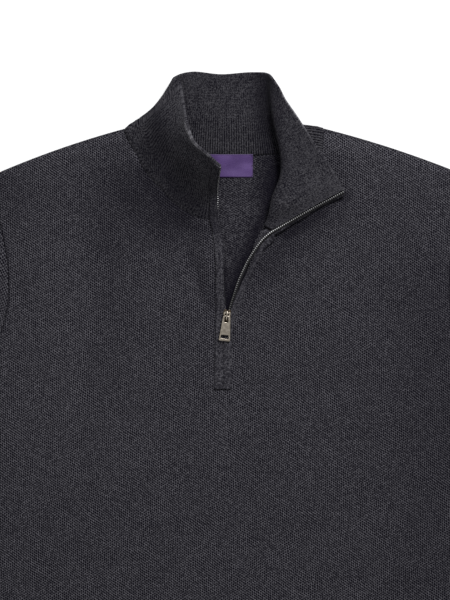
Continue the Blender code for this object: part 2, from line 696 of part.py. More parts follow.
def flat_plate(name, loops, wall):
    """A mesh of a plate from flat outlines in millimetres, the first its edge and the others holes."""
    curve = bpy.data.curves.new(name, "CURVE")
    curve.dimensions = "2D"
    curve.fill_mode = "BOTH"
    curve.extrude = wall / 2 * MM
    for outline in loops:
        spline = curve.splines.new("POLY")
        spline.use_cyclic_u = True
        spline.points.add(len(outline) - 1)
        for target, (x, y) in zip(spline.points, outline):
            target.co = (x * MM, y * MM, 0, 1)
    flat = bpy.data.objects.new(name, curve)
    bpy.context.scene.collection.objects.link(flat)
    mesh = mesh_from(flat)
    bpy.data.objects.remove(flat, do_unlink=True)
    mesh.materials.clear()
    return mesh


def make_slider(collection, tools):
    """The slider's top plate with the bridge that the pull hangs on."""
    width, length, wall = (value * MM for value in SLIDER_SIZE)
    bpy.ops.mesh.primitive_cube_add(size=1)
    plate = bpy.context.active_object
    plate.name = "zip_slider"
    plate.data.transform(Matrix.Translation((0, 0, wall / 2)) @ Matrix.Diagonal((width, length, wall, 1)))
    for owner in list(plate.users_collection):
        owner.objects.unlink(plate)
    collection.objects.link(plate)
    bevel = plate.modifiers.new("edges", "BEVEL")
    bevel.width = 0.35 * MM
    bevel.segments = 2

    half = BRIDGE_LENGTH / 2
    rise = BRIDGE_TOP - SLIDER_BASE
    foot = SLIDER_SIZE[2] / 2
    arch = ((-half, foot), (-half, rise - 1.6), (-half + 0.5, rise - 0.5), (-half + 1.6, rise),
            (half - 1.6, rise), (half - 0.5, rise - 0.5), (half, rise - 1.6), (half, foot))
    curve = bpy.data.curves.new("bridge_bar", "CURVE")
    curve.dimensions = "3D"
    curve.bevel_depth = BRIDGE_RADIUS * MM
    curve.bevel_resolution = 2
    curve.use_fill_caps = True
    spline = curve.splines.new("POLY")
    spline.points.add(len(arch) - 1)
    for target, (along, up) in zip(spline.points, arch):
        target.co = (0, along * MM, up * MM, 1)
    bar = bpy.data.objects.new("bridge_bar", curve)
    tools.objects.link(bar)
    bridge = bpy.data.objects.new("bridge", mesh_from(bar))
    bpy.data.objects.remove(bar, do_unlink=True)
    tools.objects.link(bridge)
    bridge.hide_render = True
    bridge.display_type = "WIRE"
    bridge.parent = plate
    union = plate.modifiers.new("bridge", "BOOLEAN")
    union.operation = "UNION"
    union.object = bridge
    plate.data.materials.append(finish("antique_nickel"))
    plate.matrix_world = slider_matrix()
    return plate


def rounded_loop(corners, radius, steps=4):
    """A closed outline with its corners rounded by arcs."""
    corners = [Vector(corner) for corner in corners]
    outline = []
    for before, corner, after in zip(corners[-1:] + corners[:-1], corners, corners[1:] + corners[:1]):
        to_before, to_after = (before - corner).normalized(), (after - corner).normalized()
        half_angle = to_before.angle(to_after) / 2
        middle = corner + (to_before + to_after).normalized() * (radius / math.sin(half_angle))
        start = corner + to_before * (radius / math.tan(half_angle)) - middle
        end = corner + to_after * (radius / math.tan(half_angle)) - middle
        turn = start.angle_signed(end)
        for step in range(steps + 1):
            spoke = start.copy()
            spoke.rotate(Matrix.Rotation(-turn * step / steps, 2))
            outline.append(middle + spoke)
    return outline


def make_pull(collection):
    """The pull tab, a flat plate with an eye round the bridge and a slot near its foot."""
    top, foot = (width / 2 for width in PULL_WIDTHS)
    head = 0.7
    length = PULL_LENGTH - head
    eye_half, eye_length = 1.9, 5.4
    loops = (
        (((-top, head), (top, head), (foot, -length), (-foot, -length)), 1.2),
        (((-eye_half, -head), (eye_half, -head), (eye_half + 0.2, -head - eye_length),
          (-eye_half - 0.2, -head - eye_length)), 0.8),
        (((-3.9, -length + 6.0), (3.9, -length + 6.0), (4.0, -length + 2.3), (-4.0, -length + 2.3)), 0.5),
    )
    mesh = flat_plate("zip_pull", [rounded_loop(corners, radius) for corners, radius in loops], PULL_WALL)
    mesh.materials.append(finish("antique_nickel"))
    pull = bpy.data.objects.new("zip_pull", mesh)
    collection.objects.link(pull)
    axis = Vector((0, -PULL_AXIS_BACK, PULL_AXIS_HEIGHT - SLIDER_BASE)) * MM
    pull.matrix_world = slider_matrix() @ Matrix.Translation(axis) @ Matrix.Rotation(PULL_REST_SLOPE, 4, "X")
    return pull


def stand_on_origin(collection):
    """Moves every piece together so that the middle of the sweater's box stands on the origin."""
    bpy.context.view_layer.update()
    depsgraph = bpy.context.evaluated_depsgraph_get()
    lows, highs = [], []
    for piece in collection.objects:
        evaluated = piece.evaluated_get(depsgraph)
        mesh = evaluated.to_mesh()
        points = np.array([piece.matrix_world @ vertex.co for vertex in mesh.vertices])
        evaluated.to_mesh_clear()
        lows.append(points.min(axis=0))
        highs.append(points.max(axis=0))
    low, high = np.min(lows, axis=0), np.max(highs, axis=0)
    shift = Vector(((low[0] + high[0]) / 2, (low[1] + high[1]) / 2, low[2]))
    for piece in collection.objects:
        piece.location = piece.location - shift


def main():
    clear_scene()
    sweater = make_collection("quarter_zip_sweater")
    tools = make_collection("cutters")
    make_back(sweater)
    make_front(sweater)
    upper = np.array([outer_point(FRONT_ROWS[0], side) for side in (-1, 1)]) - (0, GAP)
    lower = upper + ((HEM_INSET, -HEM_LENGTH), (-HEM_INSET, -HEM_LENGTH))
    make_ribbed_tube(sweater, "hem_rib", upper, lower)
    for side, word in ((-1, "right"), (1, "left")):
        make_sleeve(sweater, f"sleeve_{word}", side)
        end_top, end_under, run, across = sleeve_ends(side)
        start = np.array((end_top, end_under)) + run * GAP
        inset = across * (SLEEVE_END_WIDTH - CUFF_WIDTH) / 2
        end = np.array((end_top + inset, end_under - inset)) + run * CUFF_LENGTH
        make_ribbed_tube(sweater, f"cuff_{word}", start, end)
    make_collar(sweater)
    make_trim(sweater, "trim_left", -1, TRIM_LEFT_ROWS, (-8.0, -3.7, 0.6))
    make_trim(sweater, "trim_right", 1, TRIM_RIGHT_ROWS, (-3.5, 1.0, 5.2))
    make_chain(sweater, "zip_chain_left", -1, CHAIN_LEFT_ROUTE)
    make_chain(sweater, "zip_chain_right", 1, CHAIN_RIGHT_ROUTE)
    make_label(sweater)
    make_slider(sweater, tools)
    make_pull(sweater)
    stand_on_origin(sweater)


main()
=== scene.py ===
"""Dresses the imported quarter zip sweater, which lies flat on its back with its zip open.

Lengths are millimetres in the sweater's own layout until a mesh is made: x runs across the chest, y up the
body and z away from the surface that it lies on. Layout.place turns them into metres in the shared frame.
"""

import logging
import math
from collections.abc import Callable
from dataclasses import dataclass
from enum import Enum

import bmesh
import bpy
import numpy as np
from bpy.types import Material, Mesh, Object
from mathutils import Matrix, Vector

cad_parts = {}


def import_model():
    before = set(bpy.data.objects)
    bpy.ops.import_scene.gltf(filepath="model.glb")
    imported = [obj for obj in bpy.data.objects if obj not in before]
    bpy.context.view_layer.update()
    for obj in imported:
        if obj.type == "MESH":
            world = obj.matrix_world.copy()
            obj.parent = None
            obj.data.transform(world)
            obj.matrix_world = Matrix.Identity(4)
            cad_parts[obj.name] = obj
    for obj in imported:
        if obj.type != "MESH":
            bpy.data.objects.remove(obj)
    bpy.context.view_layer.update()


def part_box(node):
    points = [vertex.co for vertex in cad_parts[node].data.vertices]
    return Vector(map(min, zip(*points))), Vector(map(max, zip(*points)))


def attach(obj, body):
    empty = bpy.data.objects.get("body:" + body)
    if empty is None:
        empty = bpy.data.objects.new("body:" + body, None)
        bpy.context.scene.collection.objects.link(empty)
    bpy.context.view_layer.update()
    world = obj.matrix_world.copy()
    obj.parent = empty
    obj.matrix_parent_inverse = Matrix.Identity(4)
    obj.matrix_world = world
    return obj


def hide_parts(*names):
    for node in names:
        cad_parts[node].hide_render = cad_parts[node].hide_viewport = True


Array = np.ndarray
LOG = logging.getLogger("sweater")
MM = 0.001
TAU = 2 * math.pi
WELD_DISTANCE = 1e-6      # metres within which points of one grid merge
JOIN_DISTANCE = 2e-5      # metres within which points of joined pieces merge
CLEARANCE = 0.1           # millimetres that dressed pieces keep apart
LOWEST = 0.01             # millimetres above the surface that a pressed tube's lowest points keep

BODY = "garment"
PULL_BODY = "zip_pull"


class Side(Enum):
    """A side of the sweater as it is looked down on, and its sign along x."""

    LEFT = -1
    RIGHT = 1


class Stitch(Enum):
    """The kinds of knitting on the sweater."""

    HONEYCOMB = "honeycomb tuck"
    REVERSE = "honeycomb tuck, wrong side"
    PLAIN = "plain, right side"
    RIB = "rib"


# ---- Curves, surfaces and meshes ----


def ease(share: Array) -> Array:
    """Turns 0 to 1 into 0 to 1 with level ends, s squared times 3 - 2s."""
    share = np.clip(share, 0.0, 1.0)
    return share * share * (3 - 2 * share)


@dataclass(frozen=True)
class Ramp:
    """An eased step from 0 at its start to 1 some way on, or back if that is below 0.

    Its share is what less takes off 1 where the step is done.
    """

    start: float
    way: float
    share: float = 1.0

    def __call__(self, places: Array) -> Array:
        """How far the step has come at some places."""
        return ease((places - self.start) / self.way)

    def less(self, places: Array) -> Array:
        """What is left of 1 where the step takes its share."""
        return 1 - self.share * self(places)


def blend(first: Array, second: Array, share: Array) -> Array:
    """What lies a share of the way from one value to another."""
    return first * (1 - share) + second * share


def ended(rows: Array) -> Array:
    """Rows with the first and the last one repeated, for the closed ends of a loop."""
    return np.concatenate((rows[:1], rows, rows[-1:]))


def spread(across: Array, along: Array) -> Array:
    """Knit coordinates of a grid, from numbers that differ across it and numbers that differ along it."""
    return np.stack(np.broadcast_arrays(across, along), axis=-1)


def unit(vectors: Array) -> Array:
    """Vectors divided by their lengths."""
    return vectors / np.linalg.norm(vectors, axis=-1, keepdims=True)


def travelled(points: Array, axis: int = 0) -> Array:
    """Lengths along lines of points, from 0 at their first point.

    Args:
        points: Points, with their coordinates in the last axis.
        axis: The axis that a line runs along.

    Returns:
        The running sum of the steps between neighbours.
    """
    steps = np.linalg.norm(np.diff(points, axis=axis), axis=-1)
    start = np.zeros_like(np.take(steps, [0], axis=axis))
    return np.concatenate((start, np.cumsum(steps, axis=axis)), axis=axis)


def curve_through(knots: Array, rows: Array, places: Array) -> Array:
    """Smooth curve through rows of numbers, a cubic between each two with weighted chord slopes.

    Args:
        knots: Where each row stands, rising.
        rows: One row of numbers for each knot.
        places: Where the curve is read.

    Returns:
        One row of numbers for each place.
    """
    knots, rows = np.asarray(knots, float), np.asarray(rows, float)
    steps = np.diff(knots)[:, None]
    chords = np.diff(rows, axis=0) / steps
    slopes = np.vstack((chords[:1], chords[:1], chords[1:]))
    slopes[1:-1] = (steps[1:] * chords[:-1] + steps[:-1] * chords[1:]) / (steps[1:] + steps[:-1])
    left = np.clip(np.searchsorted(knots, places, side="right") - 1, 0, len(knots) - 2)
    t = ((places - knots[left]) / (knots[left + 1] - knots[left]))[:, None]
    step, near, far = steps[left], rows[left], rows[left + 1]
    return (
        (1 + 2 * t) * (1 - t) ** 2 * near
        + t * (1 - t) ** 2 * step * slopes[left]
        + t**2 * (3 - 2 * t) * far
        + t**2 * (t - 1) * step * slopes[left + 1]
    )


def resampled(points: Array, count: int) -> Array:
    """A line of points read again at even steps of its length, on the smooth curve through it."""
    length = travelled(points[..., :3])
    return curve_through(length, points, np.linspace(0, length[-1], count))


def distance_to_line(points: Array, start: tuple, end: tuple) -> Array:
    """How far points lie in plan from the straight line between two ends."""
    start, end = np.asarray(start, float), np.asarray(end, float)
    along = end - start
    share = np.clip(((points - start) @ along) / (along @ along), 0, 1)
    return np.linalg.norm(points - start - share[..., None] * along, axis=-1)


@dataclass(frozen=True)
class Wave:
    """One gentle swell in a cloth: where it heads, its length, height and start, in millimetres."""

    heading: float
    length: float
    height: float
    start: float = 0.0


def swell(plan: Array, waves: tuple[Wave, ...]) -> Array:
    """Sum of sine waves over the plan, each bent a little by the next so that none runs straight.

    Args:
        plan: Points in plan.
        waves: The waves to add.

    Returns:
        A height for each point.
    """
    total = np.zeros(plan.shape[:-1])
    bend = np.zeros(plan.shape[:-1])
    for wave in waves:
        angle = math.radians(wave.heading)
        along = plan[..., 0] * math.cos(angle) + plan[..., 1] * math.sin(angle)
        phase = TAU * along / wave.length + wave.start + bend
        total += wave.height * np.sin(phase)
        bend = 0.9 * np.sin(phase * 0.61 + 1.3)
    return total


def linked(name: str, data: bpy.types.ID) -> Object:
    """A new object of the scene with some data."""
    made = bpy.data.objects.new(name, data)
    bpy.context.scene.collection.objects.link(made)
    return made


def mend(mesh: Mesh, distance: float = 0.0, others: tuple = ()) -> None:
    """Adds other meshes to a mesh, merges points that touch and turns the faces outwards.

    Args:
        mesh: The mesh.
        distance: How close points have to be to merge, 0 for none.
        others: The meshes to add.
    """
    shape = bmesh.new()
    for part in (mesh, *others):
        shape.from_mesh(part)
    if distance:
        bmesh.ops.remove_doubles(shape, verts=shape.verts, dist=distance)
    bmesh.ops.recalc_face_normals(shape, faces=shape.faces)
    shape.to_mesh(mesh)
    shape.free()


def grid_object(name: str, points: Array, cloth: Array | None = None, around: bool = False,
                fields: dict[str, Array] | None = None, weld: bool = True) -> Object:
    """Makes an object from a grid of points, one quad for each four neighbours.

    Args:
        name: The object's name.
        points: Places in metres, (rows, columns, 3).
        cloth: Knit coordinates in millimetres, (rows, columns, 2), with one more column if around is set.
        around: Whether the last column joins the first.
        fields: Named numbers for the points, each (rows, columns).
        weld: Whether doubled points merge and faces are turned outwards.

    Returns:
        The object, linked to the scene.
    """
    rows, columns = points.shape[:2]
    wide = columns + 1 if around else columns
    across, down = np.arange(wide - 1), np.arange(rows - 1)[:, None]

    def quads(following: Array, row: int) -> Array:
        """Numbers of each quad's corners where a row has so many."""
        corners = (down * row + across, down * row + following,
                   (down + 1) * row + following, (down + 1) * row + across)
        return np.stack(corners, axis=-1)

    corners = quads((across + 1) % columns, columns).reshape(-1, 4)
    mesh = bpy.data.meshes.new(name)
    mesh.vertices.add(rows * columns)
    mesh.vertices.foreach_set("co", np.ascontiguousarray(points, np.float32).ravel())
    mesh.loops.add(corners.size)
    mesh.loops.foreach_set("vertex_index", corners.astype(np.int32).ravel())
    mesh.polygons.add(len(corners))
    mesh.polygons.foreach_set("loop_start", np.arange(0, corners.size, 4, dtype=np.int32))
    mesh.update(calc_edges=True)
    if cloth is not None:
        places = quads(across + 1, wide).reshape(-1)
        layer = mesh.uv_layers.new(name="cloth")
        layer.data.foreach_set("uv", cloth.reshape(-1, 2)[places].astype(np.float32).ravel())
    for word, values in (fields or {}).items():
        attribute = mesh.attributes.new(word, "FLOAT", "POINT")
        attribute.data.foreach_set("value", values.astype(np.float32).ravel())
    if weld:
        mend(mesh, WELD_DISTANCE)
    mesh.shade_smooth()
    return linked(name, mesh)


def joined(name: str, parts: list[Object]) -> Object:
    """One object from several, with points that touch merged.

    Args:
        name: Name of the result.
        parts: The objects, which share their layers. All but the first are removed.

    Returns:
        The joined object.
    """
    first, *others = parts
    mend(first.data, JOIN_DISTANCE, [part.data for part in others])
    for part in others:
        bpy.data.objects.remove(part, do_unlink=True)
    first.name = first.data.name = name
    return first


def thicken(piece: Object, wall: float, offset: float = 0.0) -> Object:
    """Gives an open surface a wall in millimetres, half to each side at offset 0."""
    solidify = piece.modifiers.new("wall", "SOLIDIFY")
    solidify.thickness = wall * MM
    solidify.offset = offset
    return piece


def grid_area(points: Array) -> float:
    """Area of a grid of points, from the crossed diagonals of its quads, in square metres."""
    first = points[1:, 1:] - points[:-1, :-1]
    second = points[1:, :-1] - points[:-1, 1:]
    return float(np.linalg.norm(np.cross(first, second), axis=-1).sum() / 2)


def swept_loop(line: Array, across: Array, up: Array, loop: Array) -> Array:
    """A closed section carried along a line, closed at both ends.

    Each point is the line's point plus the section's two coordinates times the two directions there. The
    first and last rings are repeated, shrunk to their middles.

    Args:
        line: The line's points, (n, 3).
        across: Direction and size of the section's first coordinate at each point, (n, 3).
        up: The same for its second coordinate.
        loop: The section, (m, 2).

    Returns:
        Points, (n + 2, m, 3).
    """
    rings = line[:, None] + across[:, None] * loop[:, :1] + up[:, None] * loop[:, 1:]
    ends = [np.repeat(ring.mean(axis=0, keepdims=True), len(loop), axis=0) for ring in (rings[0], rings[-1])]
    return np.concatenate((ends[0][None], rings, ends[1][None]))


def superellipse(count: int, sideways: float = 1.0, upwards: float = 1.0) -> Array:
    """A closed loop whose coordinates are signed powers of cosine and sine. Powers under 1 square it up."""
    angle = np.linspace(0, TAU, count, endpoint=False)
    cosine, sine = np.cos(angle), np.sin(angle)
    return np.column_stack((np.sign(cosine) * abs(cosine) ** sideways, np.sign(sine) * abs(sine) ** upwards))


def rib_profile(phase: Array) -> tuple[Array, Array]:
    """A rib's ridge, 0 in a valley and 1 on its crest, and how deep in a valley, about 0 as a whole.

    Args:
        phase: Places across the ribs, in ribs.

    Returns:
        The ridge, and the valley's depth, which paints shade in a valley and light on a crest.
    """
    ridge = 1 - abs(2 * (phase - np.floor(phase)) - 1) ** RIDGE_POWER
    return ridge, 1 - ridge - VALLEY_MEAN


# ---- Layout of the panels and the collar, as in the solids ----


@dataclass(frozen=True)
class PanelRow:
    """A row of a half panel, from the side seam, armhole or shoulder in to the centre, zip or neck."""

    outer: tuple
    left: tuple | float
    right: tuple | float


@dataclass(frozen=True)
class Fold:
    """A soft trough (negative) or ridge along a line in plan, or a soft band of shade."""

    start: tuple
    end: tuple
    width: float
    height: float


@dataclass(frozen=True)
class CollarStation:
    """A section of the collar: its seam, its roll or half height, and its top edge."""

    place: float
    seam: tuple
    roll: tuple
    top: tuple


@dataclass(frozen=True)
class TrimRow:
    """A row across the zip's edging where it lies on the front."""

    inner: tuple
    edge: tuple
    lift: float = 0.0


def table(kind: type, *rows: tuple) -> tuple:
    """Rows of one kind, from the numbers of each."""
    return tuple(kind(*row) for row in rows)


FRONT_ROWS = table(
    PanelRow,
    ((-274, -460), (0, -460), (0, -460)),
    ((-278, -330), (0, -330), (0, -330)),
    ((-280, -210), (0.5, -210), (0.5, -210)),
    ((-280, -112), (1.3, -124), (1.3, -124)),
    ((-262, -82), (1.4, -87.5), (1.4, -87.5)),
    ((-240, -56), (-2.4, -81), (5.2, -81)),
    ((-222, -33), (-3.3, -52), (6.3, -52)),
    ((-216, -12), (-2.2, -22), (9.0, -22)),
    ((-214, 5), (-1.2, -9), (12, -9)),
    ((-214, 22), (-2.8, 14), (19, 12)),
    ((-215, 38), (-3.8, 46), (27, 34)),
    ((-218, 55), -0.98, (31.8, 56)),
    ((-221, 70), -0.92, 0.93),
    ((-225, 85), -0.85, 0.86),
    ((-228, 96), -0.77, 0.79),
    ((-230, 104.5), -0.69, 0.73),
    ((-231, 108), -0.655, 0.70),
    ((-231.6, 111), -0.62, 0.67),
    ((-232.7, 115.5), -0.55, 0.60),
    ((-233.3, 118.5), -0.50, 0.53),
    ((-233.7, 121), -0.45, 0.465),
    ((-234, 123), -0.42, 0.425),
)
BACK_CENTRE = (-460, -330, -210, -124, -92, -64, -38, -14, 8, 30, 52, 74, 94, 112, 126, 136, 144.6)
BACK_NECK = (0.1, 0.2, 0.29, 0.36, 0.41)          # places along the neck seam of the rows above those
ARMHOLE_START = 3
SHOULDER_BOW = 3.0
RIGHT_SPREAD = 14.0
BACK_WALL = 2.0
CHEST_HEIGHT = 5.2
EDGE_HEIGHT = 3.3
EDGE_EASE = 28.0
NECK_SIDES = ((-98.0, 148.0), (98.0, 148.0))
NECK_SIDE_LIFT = 1.7
NECK_SIDE_SPREAD = 17.0

FRONT_FOLDS = table(
    Fold,
    ((-38, 66), (-10, -10), 13, -1.5),
    ((-8, 60), (-6, 10), 12, 0.7),
    ((-116, 110), (-108, -34), 20, -0.8),
    ((-205, 108), (-184, 98), 16, -1.1),
    ((-165, 30), (-160, -130), 26, 0.9),
    ((40, 20), (44, -20), 15, -1.2),
    ((86, 46), (92, 10), 16, -1.0),
    ((130, 20), (214, -60), 28, -1.2),
    ((214, -70), (214, -230), 24, -0.8),
    ((110, 24), (120, -60), 22, 0.8),
    ((-100, -118), (-60, -116), 10, -0.7),
    ((30, -88), (130, -84), 11, -0.7),
    ((-30, -300), (90, -330), 30, 0.9),
    ((-200, -260), (-140, -390), 26, -1.0),
    ((160, -300), (200, -400), 26, -0.9),
)
FINE_FOLDS = table(
    Fold,
    ((-30, 40), (-22, -4), 5, -0.5),
    ((-20, 62), (-13, 30), 5, 0.4),
    ((-198, -235), (-170, -228), 9, -0.5),
    ((-168, -208), (-150, -216), 8, -0.4),
    ((52, 22), (62, 2), 7, -0.45),
    ((66, 44), (60, 24), 6, 0.4),
    ((176, 130), (186, 118), 9, -0.6),
    ((-70, -10), (-86, -60), 12, 0.35),
    ((150, -130), (172, -200), 13, 0.4),
    ((-120, -190), (-60, -205), 10, -0.3),
    ((40, -190), (110, -176), 12, 0.3),
)
CHEST_WAVES = table(
    Wave,
    (18, 92, 0.22, 0.4),
    (103, 67, 0.20, 2.1),
    (151, 41, 0.13, 4.0),
    (64, 27, 0.07, 1.1),
)
SLEEVE_WAVES = (Wave(-35, 120, 0.35, 0.9), Wave(48, 64, 0.3, 2.2), Wave(-80, 38, 0.16, 0.2))

RIB_PITCH = 2.44
RIDGE_POWER = 2.5         # how square a rib is across
# A rib's valley depth paints shade in its valleys and light on its crests; this mean keeps the two level.
VALLEY_MEAN = 0.286       # mean depth of a rib's valleys, taken off so that ribs darken nothing as a whole
LABEL_SIZE = (62.0, 23.0)
LABEL_TOP = 145.8

# Where cloth lies in its own shade: lines in plan, with the shade's reach and depth, below 0 if brighter.
BACK_SHADE = table(
    Fold,
    ((56, 136), (50, 108), 17, 0.90),
    ((50, 108), (46, 94), 11, 0.86),
    ((46, 94), (36, 73), 6.5, 0.80),
    ((36, 73), (26, 42), 8, 0.80),
    ((26, 42), (14.8, 14), 11.5, 0.90),
    ((14.8, 14), (5, -12), 11, 0.95),
    ((1.6, 33), (4, -12), 6, 0.60),
    ((-2, 146), (40, 146), 2.2, 0.35),
)
ROLL_SHADE = table(
    Fold,
    ((43, 224), (42.5, 205), 11, 0.58),
    ((42.5, 205), (44, 180), 12, 0.60),
    ((44, 180), (48, 150), 12.5, 0.62),
    ((54.5, 150), (57.5, 136), 7, 0.55),
    ((57.5, 136), (51, 112), 5.5, 0.62),
    ((51, 112), (37, 73), 4.5, 0.6),
    ((70, 92), (100, 106), 12, -0.30),
    ((98, 122), (116, 112), 14, -0.65),
)
STAND_SHADE = table(
    Fold,
    ((-66, 184), (-60, 150), 12, 0.50),
    ((-50, 176), (-42, 152), 10, 0.12),
    ((-68, 150), (-57, 128), 13, 0.50),
    ((-57, 128), (-42, 108), 13, 0.54),
    ((-42, 108), (-18, 92), 13, 0.46),
    ((-36, 170), (-14, 145), 8, -0.30),
    ((-18, 128), (-8, 100), 10, -0.55),
)
FRONT_SHADE = table(
    Fold,
    ((-94, 154), (-76, 122), 10, 0.24),
    ((-76, 122), (-58, 102), 18, 0.66),
    ((-58, 102), (-40, 82), 20, 0.70),
    ((-40, 82), (-22, 70), 13, 0.48),
    ((-92, 108), (-60, 78), 30, 0.52),
    ((-36, 64), (-11, -6), 8.5, 0.30),
    ((-114, 118), (-115, 60), 25, 0.30),
    ((-115, 60), (-112, -90), 19, 0.15),
    ((-226, 124), (-202, 102), 18, 0.22),
    ((124, 103), (77, 77), 6, 0.50),
    ((100, 88), (64, 64), 9, 0.72),
    ((116, 96), (66, 60), 17, 0.32),
    ((68, 64), (36, 28), 19, 0.42),
    ((36, 28), (24, -2), 13, 0.20),
    ((226, 0), (226, -160), 62, 0.27),
    ((226, -160), (206, -240), 38, 0.20),
    ((186, -284), (226, -272), 26, 0.20),
    ((-165, 22), (-166, -140), 42, -0.15),
    ((-110, -70), (-90, -150), 45, -0.09),
    ((0, -106), (4, -142), 20, -0.08),
)
SEAM_SHADE = (1.3, 0.85)

COLLAR_STATIONS = table(
    CollarStation,
    (-1.00, (-4.2, 78, 6.0), (-4.9, 111, 19), (-1.4, 133.5, 47)),
    (-0.90, (-26.5, 82, 6.2), (-23, 116, 20), (-14.6, 145.5, 48)),
    (-0.80, (-47, 95, 6.4), (-40, 129, 20), (-27.6, 157.5, 46)),
    (-0.70, (-62, 110, 6.6), (-50.5, 144, 20), (-33.6, 174.5, 41)),
    (-0.58, (-79.5, 132, 6.9), (-62.5, 162, 19), (-36.8, 190, 34)),
    (-0.49, (-90.5, 153, 6.8), (-68.5, 178, 17), (-38.6, 204, 26)),
    (-0.45, (-95.2, 162.5, 6.2), (-69.5, 183.5, 15), (-39.8, 211, 22.5)),
    (-0.41, (-96.6, 171.2, 4.2), (-69.5, 189, 12.5), (-41.2, 217, 19)),
    (-0.34, (-83, 162, 1.6), (-63.5, 194, 7.6), (-47.6, 221.5, 12.5)),
    (-0.27, (-65, 153.4, 1.5), (-53, 190, 3.4), (-41.5, 226, 6.8)),
    (-0.19, (-46, 147.6, 1.5), (-39, 187, 1.6), (-31, 228.4, 3.0)),
    (0.00, (0, 145.2, 1.5), (0, 186, 1.5), (0, 226, 1.8)),
    (0.17, (41, 145.2, 1.5), (37, 186, 1.6), (32, 228, 2.6)),
    (0.24, (57.5, 147.2, 1.5), (47.5, 186, 5.2), (44.5, 227, 8.0)),
    (0.31, (75, 153.4, 1.6), (50, 192, 9.4), (51, 221, 17.0)),
    (0.36, (88.5, 161.8, 2.2), (50.6, 188, 10.4), (57.5, 211.5, 18.6)),
    (0.41, (100.9, 171.2, 4.4), (52, 180, 11.0), (63, 201, 18.4)),
    (0.455, (101.4, 160.5, 6.2), (53.6, 171, 11.4), (67.5, 194.4, 17.9)),
    (0.50, (100.4, 150, 6.8), (55.8, 161.5, 11.4), (72.4, 187.5, 17.2)),
    (0.60, (97.4, 128, 6.6), (59.4, 145, 11.6), (83, 171.5, 15.8)),
    (0.70, (89.4, 107, 6.4), (60, 131.5, 11.6), (93.2, 156, 14.4)),
    (0.80, (69, 91, 6.4), (57, 117, 11.8), (104, 140.6, 13.0)),
    (0.88, (51.5, 81.5, 7.2), (50, 96, 12.2), (112, 128, 12.0)),
    (0.93, (43.2, 76, 10.0), (52, 84.5, 13.0), (116.6, 120.6, 11.5)),
    (1.00, (49.7, 70.0, 12.0), (85.6, 90.4, 11.6), (122.2, 110.4, 11.2)),
)

TRIM_ROWS = {
    Side.LEFT: table(
        TrimRow,
        ((-10.4, 73), (-2.6, 73), 0.6),
        ((-9, 63), (0.3, 63)),
        ((-6.6, 39), (1.4, 39)),
        ((-6.6, 4), (2.3, 4)),
        ((-6.4, -10), (3.9, -10)),
        ((-6.8, -20), (3.8, -20)),
        ((-7, -34), (1.6, -34)),
        ((-7.2, -48), (1.2, -48)),
        ((-8, -89), (1.1, -89)),
    ),
    Side.RIGHT: table(
        TrimRow,
        ((40.8, 71.6), (53.0, 62.0), 2.2),
        ((32.2, 58), (43.0, 51), 1.2),
        ((28.4, 38.6), (34.6, 35), 0.3),
        ((19.6, 22), (26.6, 18)),
        ((13.2, 4), (20.8, 1)),
        ((9.0, -9), (16.4, -11)),
        ((4.3, -20), (12.4, -21)),
        ((2.1, -34), (10.4, -34)),
        ((1.7, -48), (9.9, -48)),
        ((1.6, -89), (9.6, -89)),
    ),
}
# painted shade along a band's inner border and zip edge; below 0 a painted highlight
BORDER_SHADES = {Side.LEFT: (0.40, 0.0), Side.RIGHT: (0.25, -0.22)}     # inner border, then zip edge
TRIM_REACHES = {Side.LEFT: (-8.0, -3.7, 0.6), Side.RIGHT: (-3.5, 1.0, 5.2)}
CHAIN_ROUTES = {
    Side.LEFT: (
        (0.1, 66, 5.3), (1.4, 39, 5.1), (2.4, 4, 5.1), (3.6, -10, 5.1), (3.0, -20, 5.1), (0.9, -34, 5.1),
        (0.2, -48, 5.1), (0.1, -78, 5.1),
    ),
    Side.RIGHT: (
        (45.8, 65.6, 11.6), (41.2, 61.6, 11.2), (35.4, 54.6, 10.3), (29.8, 46.4, 9.6), (25.6, 39.6, 8.9),
        (21.8, 31.8, 7.8), (17.8, 23, 6.4), (11.4, 4.6, 5.4), (7.4, -9, 5.1), (5.6, -20, 5.1),
        (3.2, -34, 5.1), (2.5, -48, 5.1), (2.4, -78, 5.1),
    ),
}


@dataclass(frozen=True)
class Layout:
    """Where the sweater's layout lies in the shared frame."""

    shift: tuple

    @classmethod
    def from_frame(cls, label_top: float) -> "Layout":
        """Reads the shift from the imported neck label, whose middle and top edge the layout knows."""
        low, high = (np.array(corner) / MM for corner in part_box("neck_label"))
        return cls(((low[0] + high[0]) / 2, high[1] - label_top, 0.0))

    def place(self, points: Array) -> Array:
        """Points of the layout in metres in the frame."""
        return (np.asarray(points, float) + self.shift) * MM


def gathered(plan: Array, folds: tuple[Fold, ...]) -> Array:
    """How deep in shade points lie: the deepest bell curve across the lines, less the most lit one."""
    depths = [fold.height * np.exp(-(distance_to_line(plan, fold.start, fold.end) / fold.width) ** 2)
              for fold in folds]
    return np.maximum.reduce(depths, initial=0.0) + np.minimum.reduce(depths, initial=0.0)


def inner_end(row: PanelRow, side: Side) -> tuple | float:
    """Where a row of the front ends at one side: a point, or a place along the neck seam."""
    return row.left if side is Side.LEFT else row.right


def outer_point(row: PanelRow, side: Side) -> tuple:
    """Where a row meets the panel's outline at one side."""
    x, y = row.outer
    return (x, y) if side is Side.LEFT else (RIGHT_SPREAD - x, y)


def outline_curve(side: Side, places: Array) -> Array:
    """A panel's outline from the hem to the shoulder point, smooth but for a corner at the underarm.

    Args:
        side: Which side.
        places: Row numbers, which may lie between rows.

    Returns:
        Points in plan, (n, 2).
    """
    line = np.array([outer_point(row, side) for row in FRONT_ROWS], float)
    knots = travelled(line)
    at = np.interp(places, np.arange(len(line)), knots)
    corner = knots[ARMHOLE_START]
    below = curve_through(knots[:ARMHOLE_START + 1], line[:ARMHOLE_START + 1], np.minimum(at, corner))
    above = curve_through(knots[ARMHOLE_START:], line[ARMHOLE_START:], np.maximum(at, corner))
    return np.where(at[:, None] < corner, below, above)


